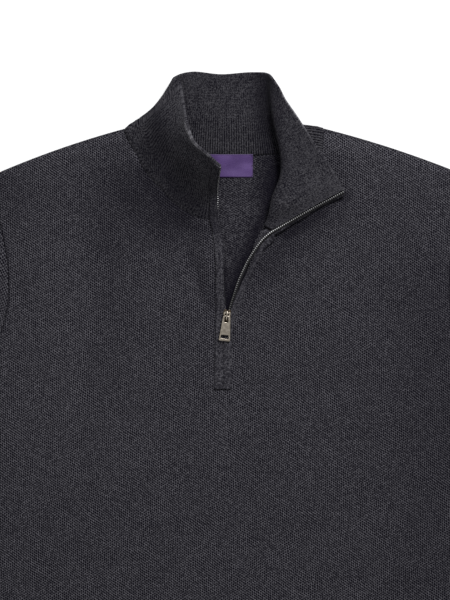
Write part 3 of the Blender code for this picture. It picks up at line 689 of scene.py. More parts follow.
def row_points(outer: Array, inner: Array, shares: Array, bow: Array) -> Array:
    """Points across a panel: the outer end blended to the inner end, bowed up by a parabola.

    Args:
        outer: Outer ends of the rows, (n, 2).
        inner: Inner ends of the rows, (n, 2).
        shares: Shares of the way in, (m,).
        bow: Height of each row's bow, (n,).

    Returns:
        Points in plan, (n, m, 2).
    """
    points = blend(outer[:, None], inner[:, None], shares[:, None])
    points[..., 1] += bow[:, None] * 4 * shares * (1 - shares)
    return points


# ---- Finishes ----


class Socket:
    """A value in a material, which Python's operators turn into Math nodes."""

    def __init__(self, paint: "Paint", link: bpy.types.NodeSocket) -> None:
        """Keeps the material that is being made and the output that holds the value."""
        self.paint = paint
        self.link = link

    def math(self, operation: str, *others: "Socket | float") -> "Socket":
        """A Math node with this value first."""
        return self.paint.node("ShaderNodeMath", dict(enumerate((self, *others))), operation=operation)

    def __add__(self, other: "Socket | float") -> "Socket":
        """Sum."""
        return self.math("ADD", other)

    def __mul__(self, other: "Socket | float") -> "Socket":
        """Product."""
        return self.math("MULTIPLY", other)

    def __sub__(self, other: "Socket | float") -> "Socket":
        """Difference."""
        return self.math("SUBTRACT", other)

    def __rsub__(self, other: float) -> "Socket":
        """A number less this value."""
        return self * -1.0 + other

    def __truediv__(self, other: "Socket | float") -> "Socket":
        """Quotient."""
        return self.math("DIVIDE", other)

    def cosine(self) -> "Socket":
        """Cosine."""
        return self.math("COSINE")

    def within(self, low: float, high: float) -> "Socket":
        """0 at low and 1 at high, eased between and held outside."""
        inputs = {"Value": self, "From Min": low, "From Max": high}
        return self.paint.node("ShaderNodeMapRange", inputs, interpolation_type="SMOOTHSTEP")


class Paint:
    """A material that is being made, with its Principled shader."""

    def __init__(self, name: str, **constants: float | tuple) -> None:
        """Starts the material.

        Args:
            name: The material's name.
            constants: Values for the shader's sockets, by their names with _ for a space.
        """
        self.material = bpy.data.materials.new(name)
        self.material.use_nodes = True
        self.tree = self.material.node_tree
        self.shader = self.tree.nodes["Principled BSDF"]
        for word, value in constants.items():
            self.shader.inputs[word.replace("_", " ")].default_value = value

    def node(self, kind: str, inputs: dict | None = None, output: int | str = 0,
             **settings: object) -> Socket:
        """Adds a node.

        Args:
            kind: The node's type.
            inputs: Values or Sockets for its inputs, by name or number.
            output: Which output to return.
            settings: Its properties.

        Returns:
            The output.
        """
        made = self.tree.nodes.new(kind)
        for word, value in settings.items():
            setattr(made, word, value)
        for word, value in (inputs or {}).items():
            if isinstance(value, Socket):
                self.tree.links.new(value.link, made.inputs[word])
            else:
                made.inputs[word].default_value = value
        return Socket(self, made.outputs[output])

    def feed(self, word: str, value: Socket) -> None:
        """Links a value to one of the shader's inputs."""
        self.tree.links.new(value.link, self.shader.inputs[word])

    def mix(self, share: Socket, first: "Socket | tuple", second: tuple) -> Socket:
        """A colour between two others."""
        inputs = {0: share, 6: first if isinstance(first, Socket) else (*first, 1), 7: (*second, 1)}
        return self.node("ShaderNodeMix", inputs, output=2, data_type="RGBA", clamp_factor=True)

    def parts(self, vector: Socket) -> list[Socket]:
        """A vector's first two numbers."""
        return [self.node("ShaderNodeSeparateXYZ", {0: vector}, output=number) for number in (0, 1)]

    def cloth_axes(self) -> tuple[Socket, Socket, Socket]:
        """The piece's knit coordinates in millimetres: both as a vector, then across, then along."""
        vector = self.node("ShaderNodeUVMap", uv_map="cloth")
        return (vector, *self.parts(vector))

    def object_place(self) -> Socket:
        """The place on the object, in metres."""
        return self.node("ShaderNodeTexCoord", output="Object")

    def field(self, word: str) -> Socket:
        """A number that the mesh carries, 0 where it has none of that name."""
        return self.node("ShaderNodeAttribute", output="Fac", attribute_name=word)

    def clouds(self, vector: Socket, scale: float, detail: float, output: int | str = 0) -> Socket:
        """One output of a noise texture."""
        inputs = {"Vector": vector, "Scale": scale, "Detail": detail}
        return self.node("ShaderNodeTexNoise", inputs, output)

    def noise(self, vector: Socket, scale: float, detail: float = 2.0) -> Socket:
        """Soft noise about 0, from -0.5 to 0.5."""
        return self.clouds(vector, scale, detail) - 0.5

    def drift(self, vector: Socket, scale: float) -> tuple[Socket, Socket]:
        """Two soft noises about 0 that differ from each other."""
        both = self.clouds(vector, scale, 2.0, "Color")
        return tuple(self.node("ShaderNodeSeparateXYZ", {0: both}, output=n) - 0.5 for n in (0, 1))

    def speckle(self, across: Socket, along: Socket) -> Socket:
        """A random number from -0.5 to 0.5 for each whole step of two coordinates."""
        cell = self.node("ShaderNodeCombineXYZ", {0: across.math("FLOOR"), 1: along.math("FLOOR")})
        return self.node("ShaderNodeTexWhiteNoise", {"Vector": cell}, noise_dimensions="2D") - 0.5

    def stretched(self, vector: Socket, scales: tuple) -> Socket:
        """A vector times a scale along each axis."""
        return self.node("ShaderNodeMapping", {"Vector": vector, "Scale": scales})

    def bump(self, height: Socket, distance: float) -> None:
        """Feeds a relief, with the distance in millimetres that a height of 1 stands for."""
        self.feed("Normal", self.node("ShaderNodeBump", {"Height": height, "Distance": distance * MM}))


BROAD = 0.035             # scale of the noise that drifts over a whole panel, in cycles a millimetre
STITCH_GROUP = 0.5        # scale of the noise that differs from one group of stitches to the next
FIBRES = (1.3, 1.15)      # flecks of yarn a millimetre, across and along
SPECKLE_SPREAD = 0.083    # mean square of a speckle, which takes the flecks' middle back to 0


@dataclass(frozen=True)
class KnitFinish:
    """A knitted cloth of melange yarn.

    Attributes:
        name: The material's name.
        stitch: The kind of knitting.
        dark: Colour of its darkest fibres, and of the painted shade in its hollows and under the mesh's
            shadow.
        light: Colour of its raised stitches and lightest fibres.
        pitch: Size of a stitch across and along, in millimetres.
        relief: Depth of the stitches in millimetres.
        level: Middle brightness, from dark 0 to light 1.
        contrast: How much painted shade the hollows take off that.
        melange: How much single fibres vary.
        drift: How much broad patches vary.
        give: How far stitches are drawn out of line over broad areas, in stitches.
        columns: How strongly its columns of stitches stand out between the hollows.
        uneven: How much the hollows' depth varies from one group of stitches to the next.
        slant: How much more its falling diagonals show than its rising ones.
        flecks: How much further the lightest and darkest fibres stand out than the others.
        rib_depth: How much painted shade a rib's valleys take, as hollows.
        lean: How far a plain stitch's loops lean, in stitches.
        rim_colour: Colour of an edge that catches light.
    """

    name: str
    stitch: Stitch
    dark: tuple
    light: tuple
    pitch: tuple
    relief: float
    level: float = 0.5
    contrast: float = 0.5
    melange: float = 0.5
    drift: float = 0.25
    give: float = 1.6
    columns: float = 0.3
    uneven: float = 0.8
    slant: float = 0.07
    flecks: float = 1.5
    rib_depth: float = 1.7
    lean: float = 0.3
    rim_colour: tuple = (0.30, 0.295, 0.32)

    def material(self) -> Material:
        """Stitches are products of cosines across and along the knitting.

        The mesh's shadow field is painted shade, and painted light below 0; below -1 it also paints a
        highlight on an edge. The hollows between stitches take painted shade as well.
        """
        paint = Paint(self.name, Roughness=0.9, Specular_IOR_Level=0.08, Sheen_Weight=0.04,
                      Sheen_Roughness=0.5, Sheen_Tint=(0.75, 0.75, 0.8, 1))
        vector, run, rise = paint.cloth_axes()
        sideways, endways = paint.drift(vector, BROAD)
        across = run / self.pitch[0] + sideways * self.give
        along = rise / self.pitch[1] + endways * self.give
        depth = paint.noise(vector, STITCH_GROUP, 1.0) * (2 * self.uneven) + 1.0
        if self.stitch in (Stitch.HONEYCOMB, Stitch.REVERSE):
            slant = paint.noise(vector, 0.025, 1.0) * 0.45 + self.slant
            rising, falling = ((across * TAU + along * way).cosine() for way in (-math.pi, math.pi))
            cells = rising * (0.5 - slant) + falling * (slant + 0.5)
            hollow = cells * 0.5 * depth + (across * (2 * TAU)).cosine() * self.columns + 0.5
        elif self.stitch is Stitch.RIB:
            loops = (across * TAU).cosine() + (along * TAU).cosine()
            # painted shade in the ribs' valleys and painted light on their crests, from the mesh's valley
            # field
            hollow = paint.field("valley") * self.rib_depth + loops * depth * self.columns
        else:
            lean = along + (across * math.pi).cosine() * self.lean
            hollow = ((lean * TAU).cosine() * 0.10 + (across * TAU).cosine() * self.columns) * depth + 0.5
        yarn = paint.speckle(run * FIBRES[0], rise * FIBRES[1])
        yarn = yarn + (yarn * yarn - SPECKLE_SPREAD) * self.flecks
        patch = paint.noise(vector, BROAD, 3.0) + paint.noise(vector, 0.16, 2.0) * 0.6
        shadow = paint.field("shadow")
        shade = self.level - hollow * self.contrast + yarn * self.melange + patch * self.drift
        # painted shade: the hollows and the mesh's shadow field darken the colour toward dark
        colour = paint.mix(shade.math("MINIMUM", 1.0) * (1.0 - shadow), self.dark, self.light)
        catch = (shadow * -1.0 - 1.0) * (yarn * 1.6 + 1.0)
        paint.feed("Base Color", paint.mix(catch, colour, self.rim_colour))
        fuzz = paint.noise(vector, 2.2, 3.0)
        paint.bump(fuzz * 0.5 - hollow, self.relief)
        paint.feed("Roughness", fuzz * 0.12 + 0.9)
        return paint.material


@dataclass(frozen=True)
class SatinFinish:
    """A woven satin ribbon with a fine twill, a firmer selvedge and painted sheen."""

    name: str
    colour: tuple
    light: tuple
    size: tuple

    def material(self) -> Material:
        """Slanting ridges, thread noise, broad patches of painted sheen and a darker band round the edges.
        """
        paint = Paint(self.name, Specular_IOR_Level=0.5, Sheen_Weight=0.35, Sheen_Roughness=0.35,
                      Sheen_Tint=(0.8, 0.6, 1.0, 1))
        vector, across, along = paint.cloth_axes()
        twill = ((across * 0.8 + along) * (TAU / 0.55)).cosine()
        streak = paint.noise(paint.stretched(vector, (0.25, 3.0, 1.0)), 1.0)
        sideways, endways = ((place / size - 0.5).math("ABSOLUTE") * size - size / 2
                             for place, size in zip((across, along), self.size))
        # darker band round the edges: the firmer selvedge, and painted shade along the label's borders
        edge = sideways.math("MAXIMUM", endways).within(-1.3, -0.7)
        # painted sheen: broad soft patches of lighter colour
        painted_sheen = paint.noise(vector, 0.05, 1.0)
        shade = twill * 0.10 + streak * 0.5 + painted_sheen * 1.6 - edge * 1.1 + 0.46
        paint.feed("Base Color", paint.mix(shade, self.colour, self.light))
        paint.feed("Roughness", streak * 0.2 + 0.42 + edge * 0.1)
        paint.bump(twill * 0.5 + streak, 0.05)
        return paint.material


@dataclass(frozen=True)
class MetalFinish:
    """A plated metal with faint brushing, small dents and dulled patches."""

    name: str
    colour: tuple
    worn: tuple
    roughness: float
    brushing: float
    metallic: float = 1.0

    def material(self) -> Material:
        """Brushing is noise stretched along y, wear is soft noise in patches, and the mesh's shadow field is
        painted shade.
        """
        paint = Paint(self.name, Metallic=self.metallic)
        place = paint.object_place()
        brush = paint.noise(paint.stretched(place, (9000.0, 900.0, 9000.0)), 1.0)
        patch = paint.noise(place, 420.0, 3.0)
        wear = (patch + brush * 0.3).within(-0.12, 0.22)
        colour = paint.mix(wear, self.colour, self.worn)
        # painted shade: the shadow field darkens the colour toward black
        paint.feed("Base Color", paint.mix(paint.field("shadow"), colour, (0.01, 0.01, 0.01)))
        paint.feed("Roughness", patch * 0.12 + brush * 0.12 + self.roughness)
        paint.bump(brush * self.brushing + patch * 0.15, 0.05)
        return paint.material


@dataclass(frozen=True)
class TapeFinish:
    """The zip's tape, a close dark herringbone weave."""

    name: str
    dark: tuple
    light: tuple

    def material(self) -> Material:
        """Two slanting sets of ridges that alternate across the tape."""
        paint = Paint(self.name, Roughness=0.85, Specular_IOR_Level=0.3)
        vector, across, along = paint.cloth_axes()
        side = (across * (TAU / 1.6)).cosine().within(-0.1, 0.1) * 2.0 - 1.0
        ridge = ((along + across * side) * (TAU / 0.7)).cosine()
        shade = ridge * 0.3 + paint.noise(vector, 2.5) + 0.4
        paint.feed("Base Color", paint.mix(shade, self.dark, self.light))
        paint.bump(ridge, 0.08)
        return paint.material


@dataclass(frozen=True)
class FloorFinish:
    """A plain pale studio floor."""

    name: str
    colour: tuple

    def material(self) -> Material:
        """One tone with the faintest drift."""
        paint = Paint(self.name, Roughness=0.9, Specular_IOR_Level=0.1)
        tone = paint.noise(paint.object_place(), 3.0) + 0.5
        paler = tuple(min(1.0, part * 1.02) for part in self.colour)
        paint.feed("Base Color", paint.mix(tone, self.colour, paler))
        return paint.material


# colour of the darkest fibres, and of the painted shade in hollows and under the shadow field
DARK_FIBRE_AND_SHADE = (0.0010, 0.0005, 0.0034)


def yarn_colour(level: float) -> tuple:
    """The yarn's grey at some level, which is less blue than the painted shade of its hollows."""
    return (1.028 * level, level, 1.135 * level)


@dataclass(frozen=True)
class Finishes:
    """Every finish of the sweater, each made once."""

    honeycomb: Material
    reverse: Material
    rib: Material
    trim: Material
    tape: Material
    satin: Material
    thread: Material
    teeth: Material
    nickel: Material
    dull: Material

    @classmethod
    def made(cls) -> "Finishes":
        """Makes all the materials."""
        finishes = {
            "honeycomb": KnitFinish(
                "honeycomb_knit", Stitch.HONEYCOMB, DARK_FIBRE_AND_SHADE, yarn_colour(0.089), pitch=(3.85, 1.28),
                relief=0.45, level=1.00, contrast=1.90, melange=0.80, drift=0.12, columns=0.26, uneven=0.4),
            "reverse": KnitFinish(
                "honeycomb_knit_wrong_side", Stitch.REVERSE, DARK_FIBRE_AND_SHADE, yarn_colour(0.073),
                pitch=(4.0, 1.163), relief=0.22, level=0.62, contrast=0.76, melange=0.72, drift=0.2,
                columns=0.12, uneven=1.0),
            "rib": KnitFinish(
                "rib_knit", Stitch.RIB, DARK_FIBRE_AND_SHADE, yarn_colour(0.046), pitch=(RIB_PITCH, 2.8),
                relief=0.15, level=0.42, contrast=0.54, melange=1.0, drift=0.3, give=0.0, columns=0.12,
                uneven=1.0),
            "trim": KnitFinish(
                "edging_knit", Stitch.PLAIN, DARK_FIBRE_AND_SHADE, yarn_colour(0.065), pitch=(3.9, 3.1),
                relief=0.10, level=0.60, contrast=0.34, melange=0.95, drift=0.15, give=0.2, columns=0.18,
                uneven=0.6),
            "tape": TapeFinish("zip_tape_weave", (0.003, 0.003, 0.0035), (0.011, 0.010, 0.013)),
            "satin": SatinFinish("label_satin", (0.034, 0.012, 0.078), (0.112, 0.064, 0.205), LABEL_SIZE),
            "thread": KnitFinish("sewing_thread", Stitch.PLAIN, (0.01, 0.009, 0.012), (0.06, 0.055, 0.07),
                                 pitch=(0.6, 0.4), relief=0.05),
            "teeth": MetalFinish("bright_teeth", (0.72, 0.72, 0.73), (0.88, 0.88, 0.89), roughness=0.3,
                                 brushing=0.3, metallic=0.5),
            "nickel": MetalFinish("antique_nickel", (0.50, 0.44, 0.365), (0.64, 0.575, 0.49),
                                  roughness=0.34, brushing=0.25),
            # painted shadow: a dark nickel for the slider's upper plate, seen through the pull's eye
            "dull": MetalFinish("nickel_painted_shadow", (0.03, 0.023, 0.016), (0.09, 0.07, 0.05),
                                roughness=0.5, brushing=0.4),
        }
        return cls(**{word: finish.material() for word, finish in finishes.items()})


# ---- The sweater ----


@dataclass
class Piece:
    """What the sweater's sub-assemblies share: the layout, the finishes and how a piece is handed over."""

    layout: Layout
    finishes: Finishes

    def hand_over(self, piece: Object, material: Material, slot: str, *nodes: str,
                  body: str = BODY) -> Object:
        """Dresses a piece, puts it on its body and hides the solids that it stands for.

        Args:
            piece: The piece.
            material: Its material.
            slot: Name of a material slot; not used.
            nodes: Names of the solids that it replaces.
            body: The body that it rides on.

        Returns:
            The piece.
        """
        piece.data.materials.clear()
        piece.data.materials.append(material)
        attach(piece, body)
        if nodes:
            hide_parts(*nodes)
        LOG.info("%s: %d faces on %s", piece.name, len(piece.data.polygons), body)
        return piece


@dataclass(frozen=True)
class RimLight:
    """Light that the collar's top edge catches, with Ramps along the neck seam.

    Attributes:
        waver: How much it wavers along the seam, and how often.
        reach: How far it reaches down the outside: least, what is added, and where.
        inside: Its share on the inside of the wall, and its reach there.
    """

    standing: float = 1.03
    stand_ends: Ramp = Ramp(-0.52, 0.12)
    stand_thins: Ramp = Ramp(-0.66, 0.1, 0.25)
    turned: float = 1.20
    flap_starts: Ramp = Ramp(0.3, 0.1)
    flap_fades: Ramp = Ramp(0.56, 0.30, 0.92)
    zip_end: Ramp = Ramp(-0.90, -0.06, 0.5)
    waver: tuple = (0.07, 23)
    reach: tuple = (2.6, 5.8, Ramp(-0.84, 0.2))
    inside: tuple = (0.6, 0.9)

    def strength(self, places: Array) -> Array:
        """How much light the edge catches at some places."""
        size, rate = self.waver
        catch = self.standing * self.stand_ends.less(places) * (1 + size * np.sin(places * rate))
        catch = catch * self.stand_thins.less(places)
        catch = catch + self.turned * self.flap_starts(places) * self.flap_fades.less(places)
        return catch * self.zip_end.less(places)

    def shares(self, places: Array, down: Array) -> tuple[Array, Array]:
        """What share of that light reaches points of the wall.

        Args:
            places: Places along the seam, (n, 1).
            down: Lengths down from the top edge, (n, m).

        Returns:
            The shares outside and inside.
        """
        least, more, where = self.reach
        share, reach = self.inside
        return np.exp(-(down / (least + more * where(places))) ** 2), share * ease(1 - down / reach)


@dataclass
class Collar(Piece):
    """The double rib collar, which stands at the left and is rolled out as a flap at the right.

    Places run along the neck seam from -1 at the left zip edge to 1 at the right one, and heights up the
    cloth from the seam in millimetres. Ramps say where along one of the two something sets in or ends.

    Attributes:
        rib_base: The ridge's level at the wall's own surface.
        rib_fade: Heights between which ribs fade, rib_rise higher on the standing side, to rib_least.
        turned_ribs: Their strength on the inside where it is turned out.
        rib_slack: How much further apart they lie left of stand_start.
        seam_drop: How far the lowest cloth drops on the front.
        seam_dive: How far the wall's foot dives beneath the left seam.
        seam_wall: Share of the wall's thickness at the seam.
    """

    wall: float = 3.0
    points_per_rib: int = 5
    rows: int = 21
    cap_angles: tuple = (30, 60, 90, 120, 150)
    roll_reach: float = 7.0
    rib_height: float = 0.46
    rib_base: float = 0.6
    rib_fade: tuple = (14.0, 52.0)
    rib_rise: float = 26.0
    rib_least: float = 0.10
    turned_ribs: float = 0.12
    rib_lean: float = 0.066
    rib_slack: float = 0.32
    seam_drop: float = 1.1
    seam_dive: float = 0.9
    seam_wall: float = 0.62
    stand_start: float = -0.4
    rim: RimLight = RimLight()
    standing: Ramp = Ramp(-0.4, -0.1)
    left_seam: Ramp = Ramp(-0.42, -0.06)
    diving: Ramp = Ramp(-0.40, -0.05)
    turned_out: Ramp = Ramp(0.30, 0.16)
    waves_from: Ramp = Ramp(0.4, 0.1)
    front_from: Ramp = Ramp(0.42, 0.05)
    plain_edge: Ramp = Ramp(0.955, 0.02)
    lean_starts: Ramp = Ramp(-1, 0.22)
    lean_ends: Ramp = Ramp(-0.46, 0.1)
    lean_rises: Ramp = Ramp(0, 26)
    waves_rise: Ramp = Ramp(0, 20)
    drop_ends: Ramp = Ramp(0, 11)
    calm_ends: Ramp = Ramp(0, 7)
    taper_ends: Ramp = Ramp(0, 5)
    dive_ends: Ramp = Ramp(0, 2.6)
    waves: tuple = (Wave(90, 46, 0.22, 0.3), Wave(20, 61, 0.3, 1.9), Wave(70, 23, 0.08, 0.7))

    def lines(self, places: Array) -> list[Array]:
        """Seam, roll and top edge, each as a smooth curve through the stations."""
        knots = [station.place for station in COLLAR_STATIONS]
        return [
            curve_through(knots, [getattr(station, part) for station in COLLAR_STATIONS], places)
            for part in ("seam", "roll", "top")
        ]

    @property
    def seam_length(self) -> float:
        """Length of the neck seam all the way along the collar."""
        return float(travelled(self.lines(np.linspace(-1, 1, 801))[0])[-1])

    def seam_points(self, places: Array, distance: float) -> Array:
        """Points in plan beside the neck seam, to the left of its run by a distance."""
        near = 0.006
        places = np.clip(np.atleast_1d(places), near - 1, 1 - near)
        before, here, after = (self.lines(places + step)[0][:, :2] for step in (-near, 0, near))
        run = unit(after - before)
        return here + distance * np.column_stack((-run[:, 1], run[:, 0]))

    def middle(self, places: Array) -> Array:
        """Middle of the wall: two cubic Bezier arcs for each place, which meet on the roll's crest.

        Args:
            places: Places along the neck seam, from -1 to 1.

        Returns:
            Points from the seam to the top edge, (places, rows, 3).
        """
        seam, roll, top = self.lines(places)
        rise, fall = roll - seam, top - roll
        rise_length = np.linalg.norm(rise, axis=1, keepdims=True)
        fall_length = np.linalg.norm(fall, axis=1, keepdims=True)
        inward, outward = rise / rise_length, fall / fall_length
        top = top - outward * self.wall / 2
        turn = np.linalg.norm(inward - outward, axis=1, keepdims=True) / 2
        crest = unit((inward + outward) / 2 + turn * (0, 0, 1))
        before = roll - crest * (turn * self.roll_reach + (1 - turn) * rise_length / 3)
        after = roll + crest * (turn * self.roll_reach + (1 - turn) * fall_length / 3)
        first = (seam, seam + inward * (1, 1, 0) * rise_length / 3, before, roll)
        second = (roll, after, top - outward * fall_length / 3, top)
        t = np.linspace(0, 1, self.rows)[:, None]
        weights = ((1 - t) ** 3, 3 * t * (1 - t) ** 2, 3 * t**2 * (1 - t), t**3)
        arcs = [sum(w * p[:, None] for w, p in zip(weights, points)) for points in (first, second)]
        return np.concatenate((arcs[0], arcs[1][:, 1:]), axis=1)

    def surface(self, places: Array) -> tuple[Array, Array, Array]:
        """Middle of the wall, the directions out of it and lengths up from the seam."""
        points = self.middle(places)
        height = travelled(points, axis=1)
        off_centre = abs(places)[:, None]
        free = self.waves_from(off_centre) * self.waves_rise(height)
        stretched = spread(places[:, None] * self.seam_length / 2, height)
        along, up = np.gradient(points, axis=0), np.gradient(points, axis=1)
        up[:, 0, 2] = 0
        out = unit(-np.cross(along, up))
        points = points + out * (swell(stretched, self.waves) * free)[..., None]
        points[..., 2] -= self.seam_drop * self.front_from(off_centre) * self.drop_ends.less(height)
        points[..., 2] = np.maximum(points[..., 2], self.wall / 2)
        return points, out, height

    def edge(self, side: Side) -> tuple[Array, ...]:
        """The zip edge from top to seam: points, directions along the wall, straight off it and outwards."""
        sign = side.value
        places = np.array(sorted((sign * (1 - 0.036), sign * (1 - 0.018), sign)))
        points, out, _ = self.surface(places)
        edge, inside = points[::sign][2], points[::sign][0]
        run = unit(np.gradient(edge, axis=0))
        along = unit(edge - inside)
        off = along - np.sum(along * run, axis=-1, keepdims=True) * run
        return edge[::-1], along[::-1], unit(off)[::-1], out[::sign][2][::-1]

    def ribs(self, places: Array, height: Array, count: int) -> tuple[Array, ...]:
        """The ribs, strong at the seam where the linking draws them in, and weaker up the collar.

        Args:
            places: Places along the seam, (n,).
            height: Lengths up from the seam, (n, m).
            count: How many ribs there are.

        Returns:
            Places among the ribs, the relief in millimetres and the depth in a valley, which paints shade,
            each (n, m).
        """
        leaning = self.lean_starts(places) * self.lean_ends.less(places)
        drawn = places + self.rib_slack * np.maximum(self.stand_start - places, 0)
        phase = (drawn[:, None] + 1 + self.rib_lean * leaning[:, None] * self.lean_rises(height)) / 2 * count
        ridge, valley = rib_profile(phase)
        low, high = self.rib_fade
        high = high + self.rib_rise * self.standing(places)[:, None]
        strength = self.rib_least + (1 - self.rib_least) * (1 - ease((height - low) / (high - low)))
        strength = strength * (1 - self.left_seam(places)[:, None] * self.calm_ends.less(height))
        strength = strength * self.plain_edge.less(abs(places))[:, None]
        return phase, self.rib_height * (ridge - self.rib_base) * strength, valley * strength

    def wrapped(self, outside: Array, over: Array | None, inside: Array) -> Array:
        """Values up the outside, over the folded top edge and down the inside of the wall.

        Args:
            outside: Values up the outside, (n, m, ...).
            over: Values over the top edge, or None where they stay as they are at the top.
            inside: Values up the inside.

        Returns:
            One row for each place.
        """
        if over is None:
            over = np.repeat(outside[:, -1:], len(self.cap_angles), axis=1)
        return np.concatenate((outside, over, inside[:, ::-1]), axis=1)

    def build(self) -> None:
        """One closed surface: up the outside, over the folded top edge and down the inside.

        Ribs are left off where the wall rests on the surface beneath.
        """
        count = round(self.seam_length / RIB_PITCH)
        places = np.linspace(-1, 1, count * self.points_per_rib + 1)
        middle, out, height = self.surface(places)
        phase, relief, valley = self.ribs(places, height, count)
        clear = ease(out[..., 2] * 3 + 1)
        within = 1 - self.turned_out(places)[:, None] * (1 - self.turned_ribs)
        middle[..., 2] -= (self.seam_dive * self.diving(places))[:, None] * self.dive_ends.less(height)
        half = self.wall / 2
        wall = half * (self.seam_wall + (1 - self.seam_wall) * self.taper_ends(height))
        up = unit(middle[:, -1] - middle[:, -2])[:, None]
        turned = np.radians(self.cap_angles)[:, None]
        cap = middle[:, -1:] + half * (out[:, -1:] * np.cos(turned) + up * np.sin(turned))
        inner = middle - out * (wall + relief * within)[..., None]
        inner[..., 2] = np.maximum(inner[..., 2], 2 * LOWEST)
        loop = self.wrapped(middle + out * (wall + relief * clear)[..., None], cap, inner)
        closing = self.wrapped(middle, None, middle)
        loop = np.concatenate((closing[:1], loop, closing[-1:]))
        run, rise = (ended(self.wrapped(values, None, values)) for values in (phase, height))
        cloth = np.stack((np.hstack((run, run[:, :1])) * RIB_PITCH, np.hstack((rise, rise[:, :1]))), axis=-1)
        plan = middle[..., :2]
        catch = self.rim.strength(places)[:, None]
        outside, inside = self.rim.shares(places[:, None], height[:, -1:] - height)
        level = np.zeros((len(places), len(self.cap_angles)))
        # valley paints shade in the ribs' valleys; shadow is painted shade from the stand and roll lines,
        # less the rim's painted highlight
        fields = {
            "valley": ended(self.wrapped(valley * clear, level, valley * within)),
            "shadow": ended(self.wrapped(gathered(plan, STAND_SHADE) - catch * outside, level - catch,
                                         gathered(plan, ROLL_SHADE) - catch * inside)),
        }
        piece = grid_object("collar_shell", self.layout.place(loop), cloth, True, fields)
        self.hand_over(piece, self.finishes.rib, "charcoal_rib", "collar")
        self.seam_length * MM
        height.max() * MM
        grid_area(self.layout.place(middle))


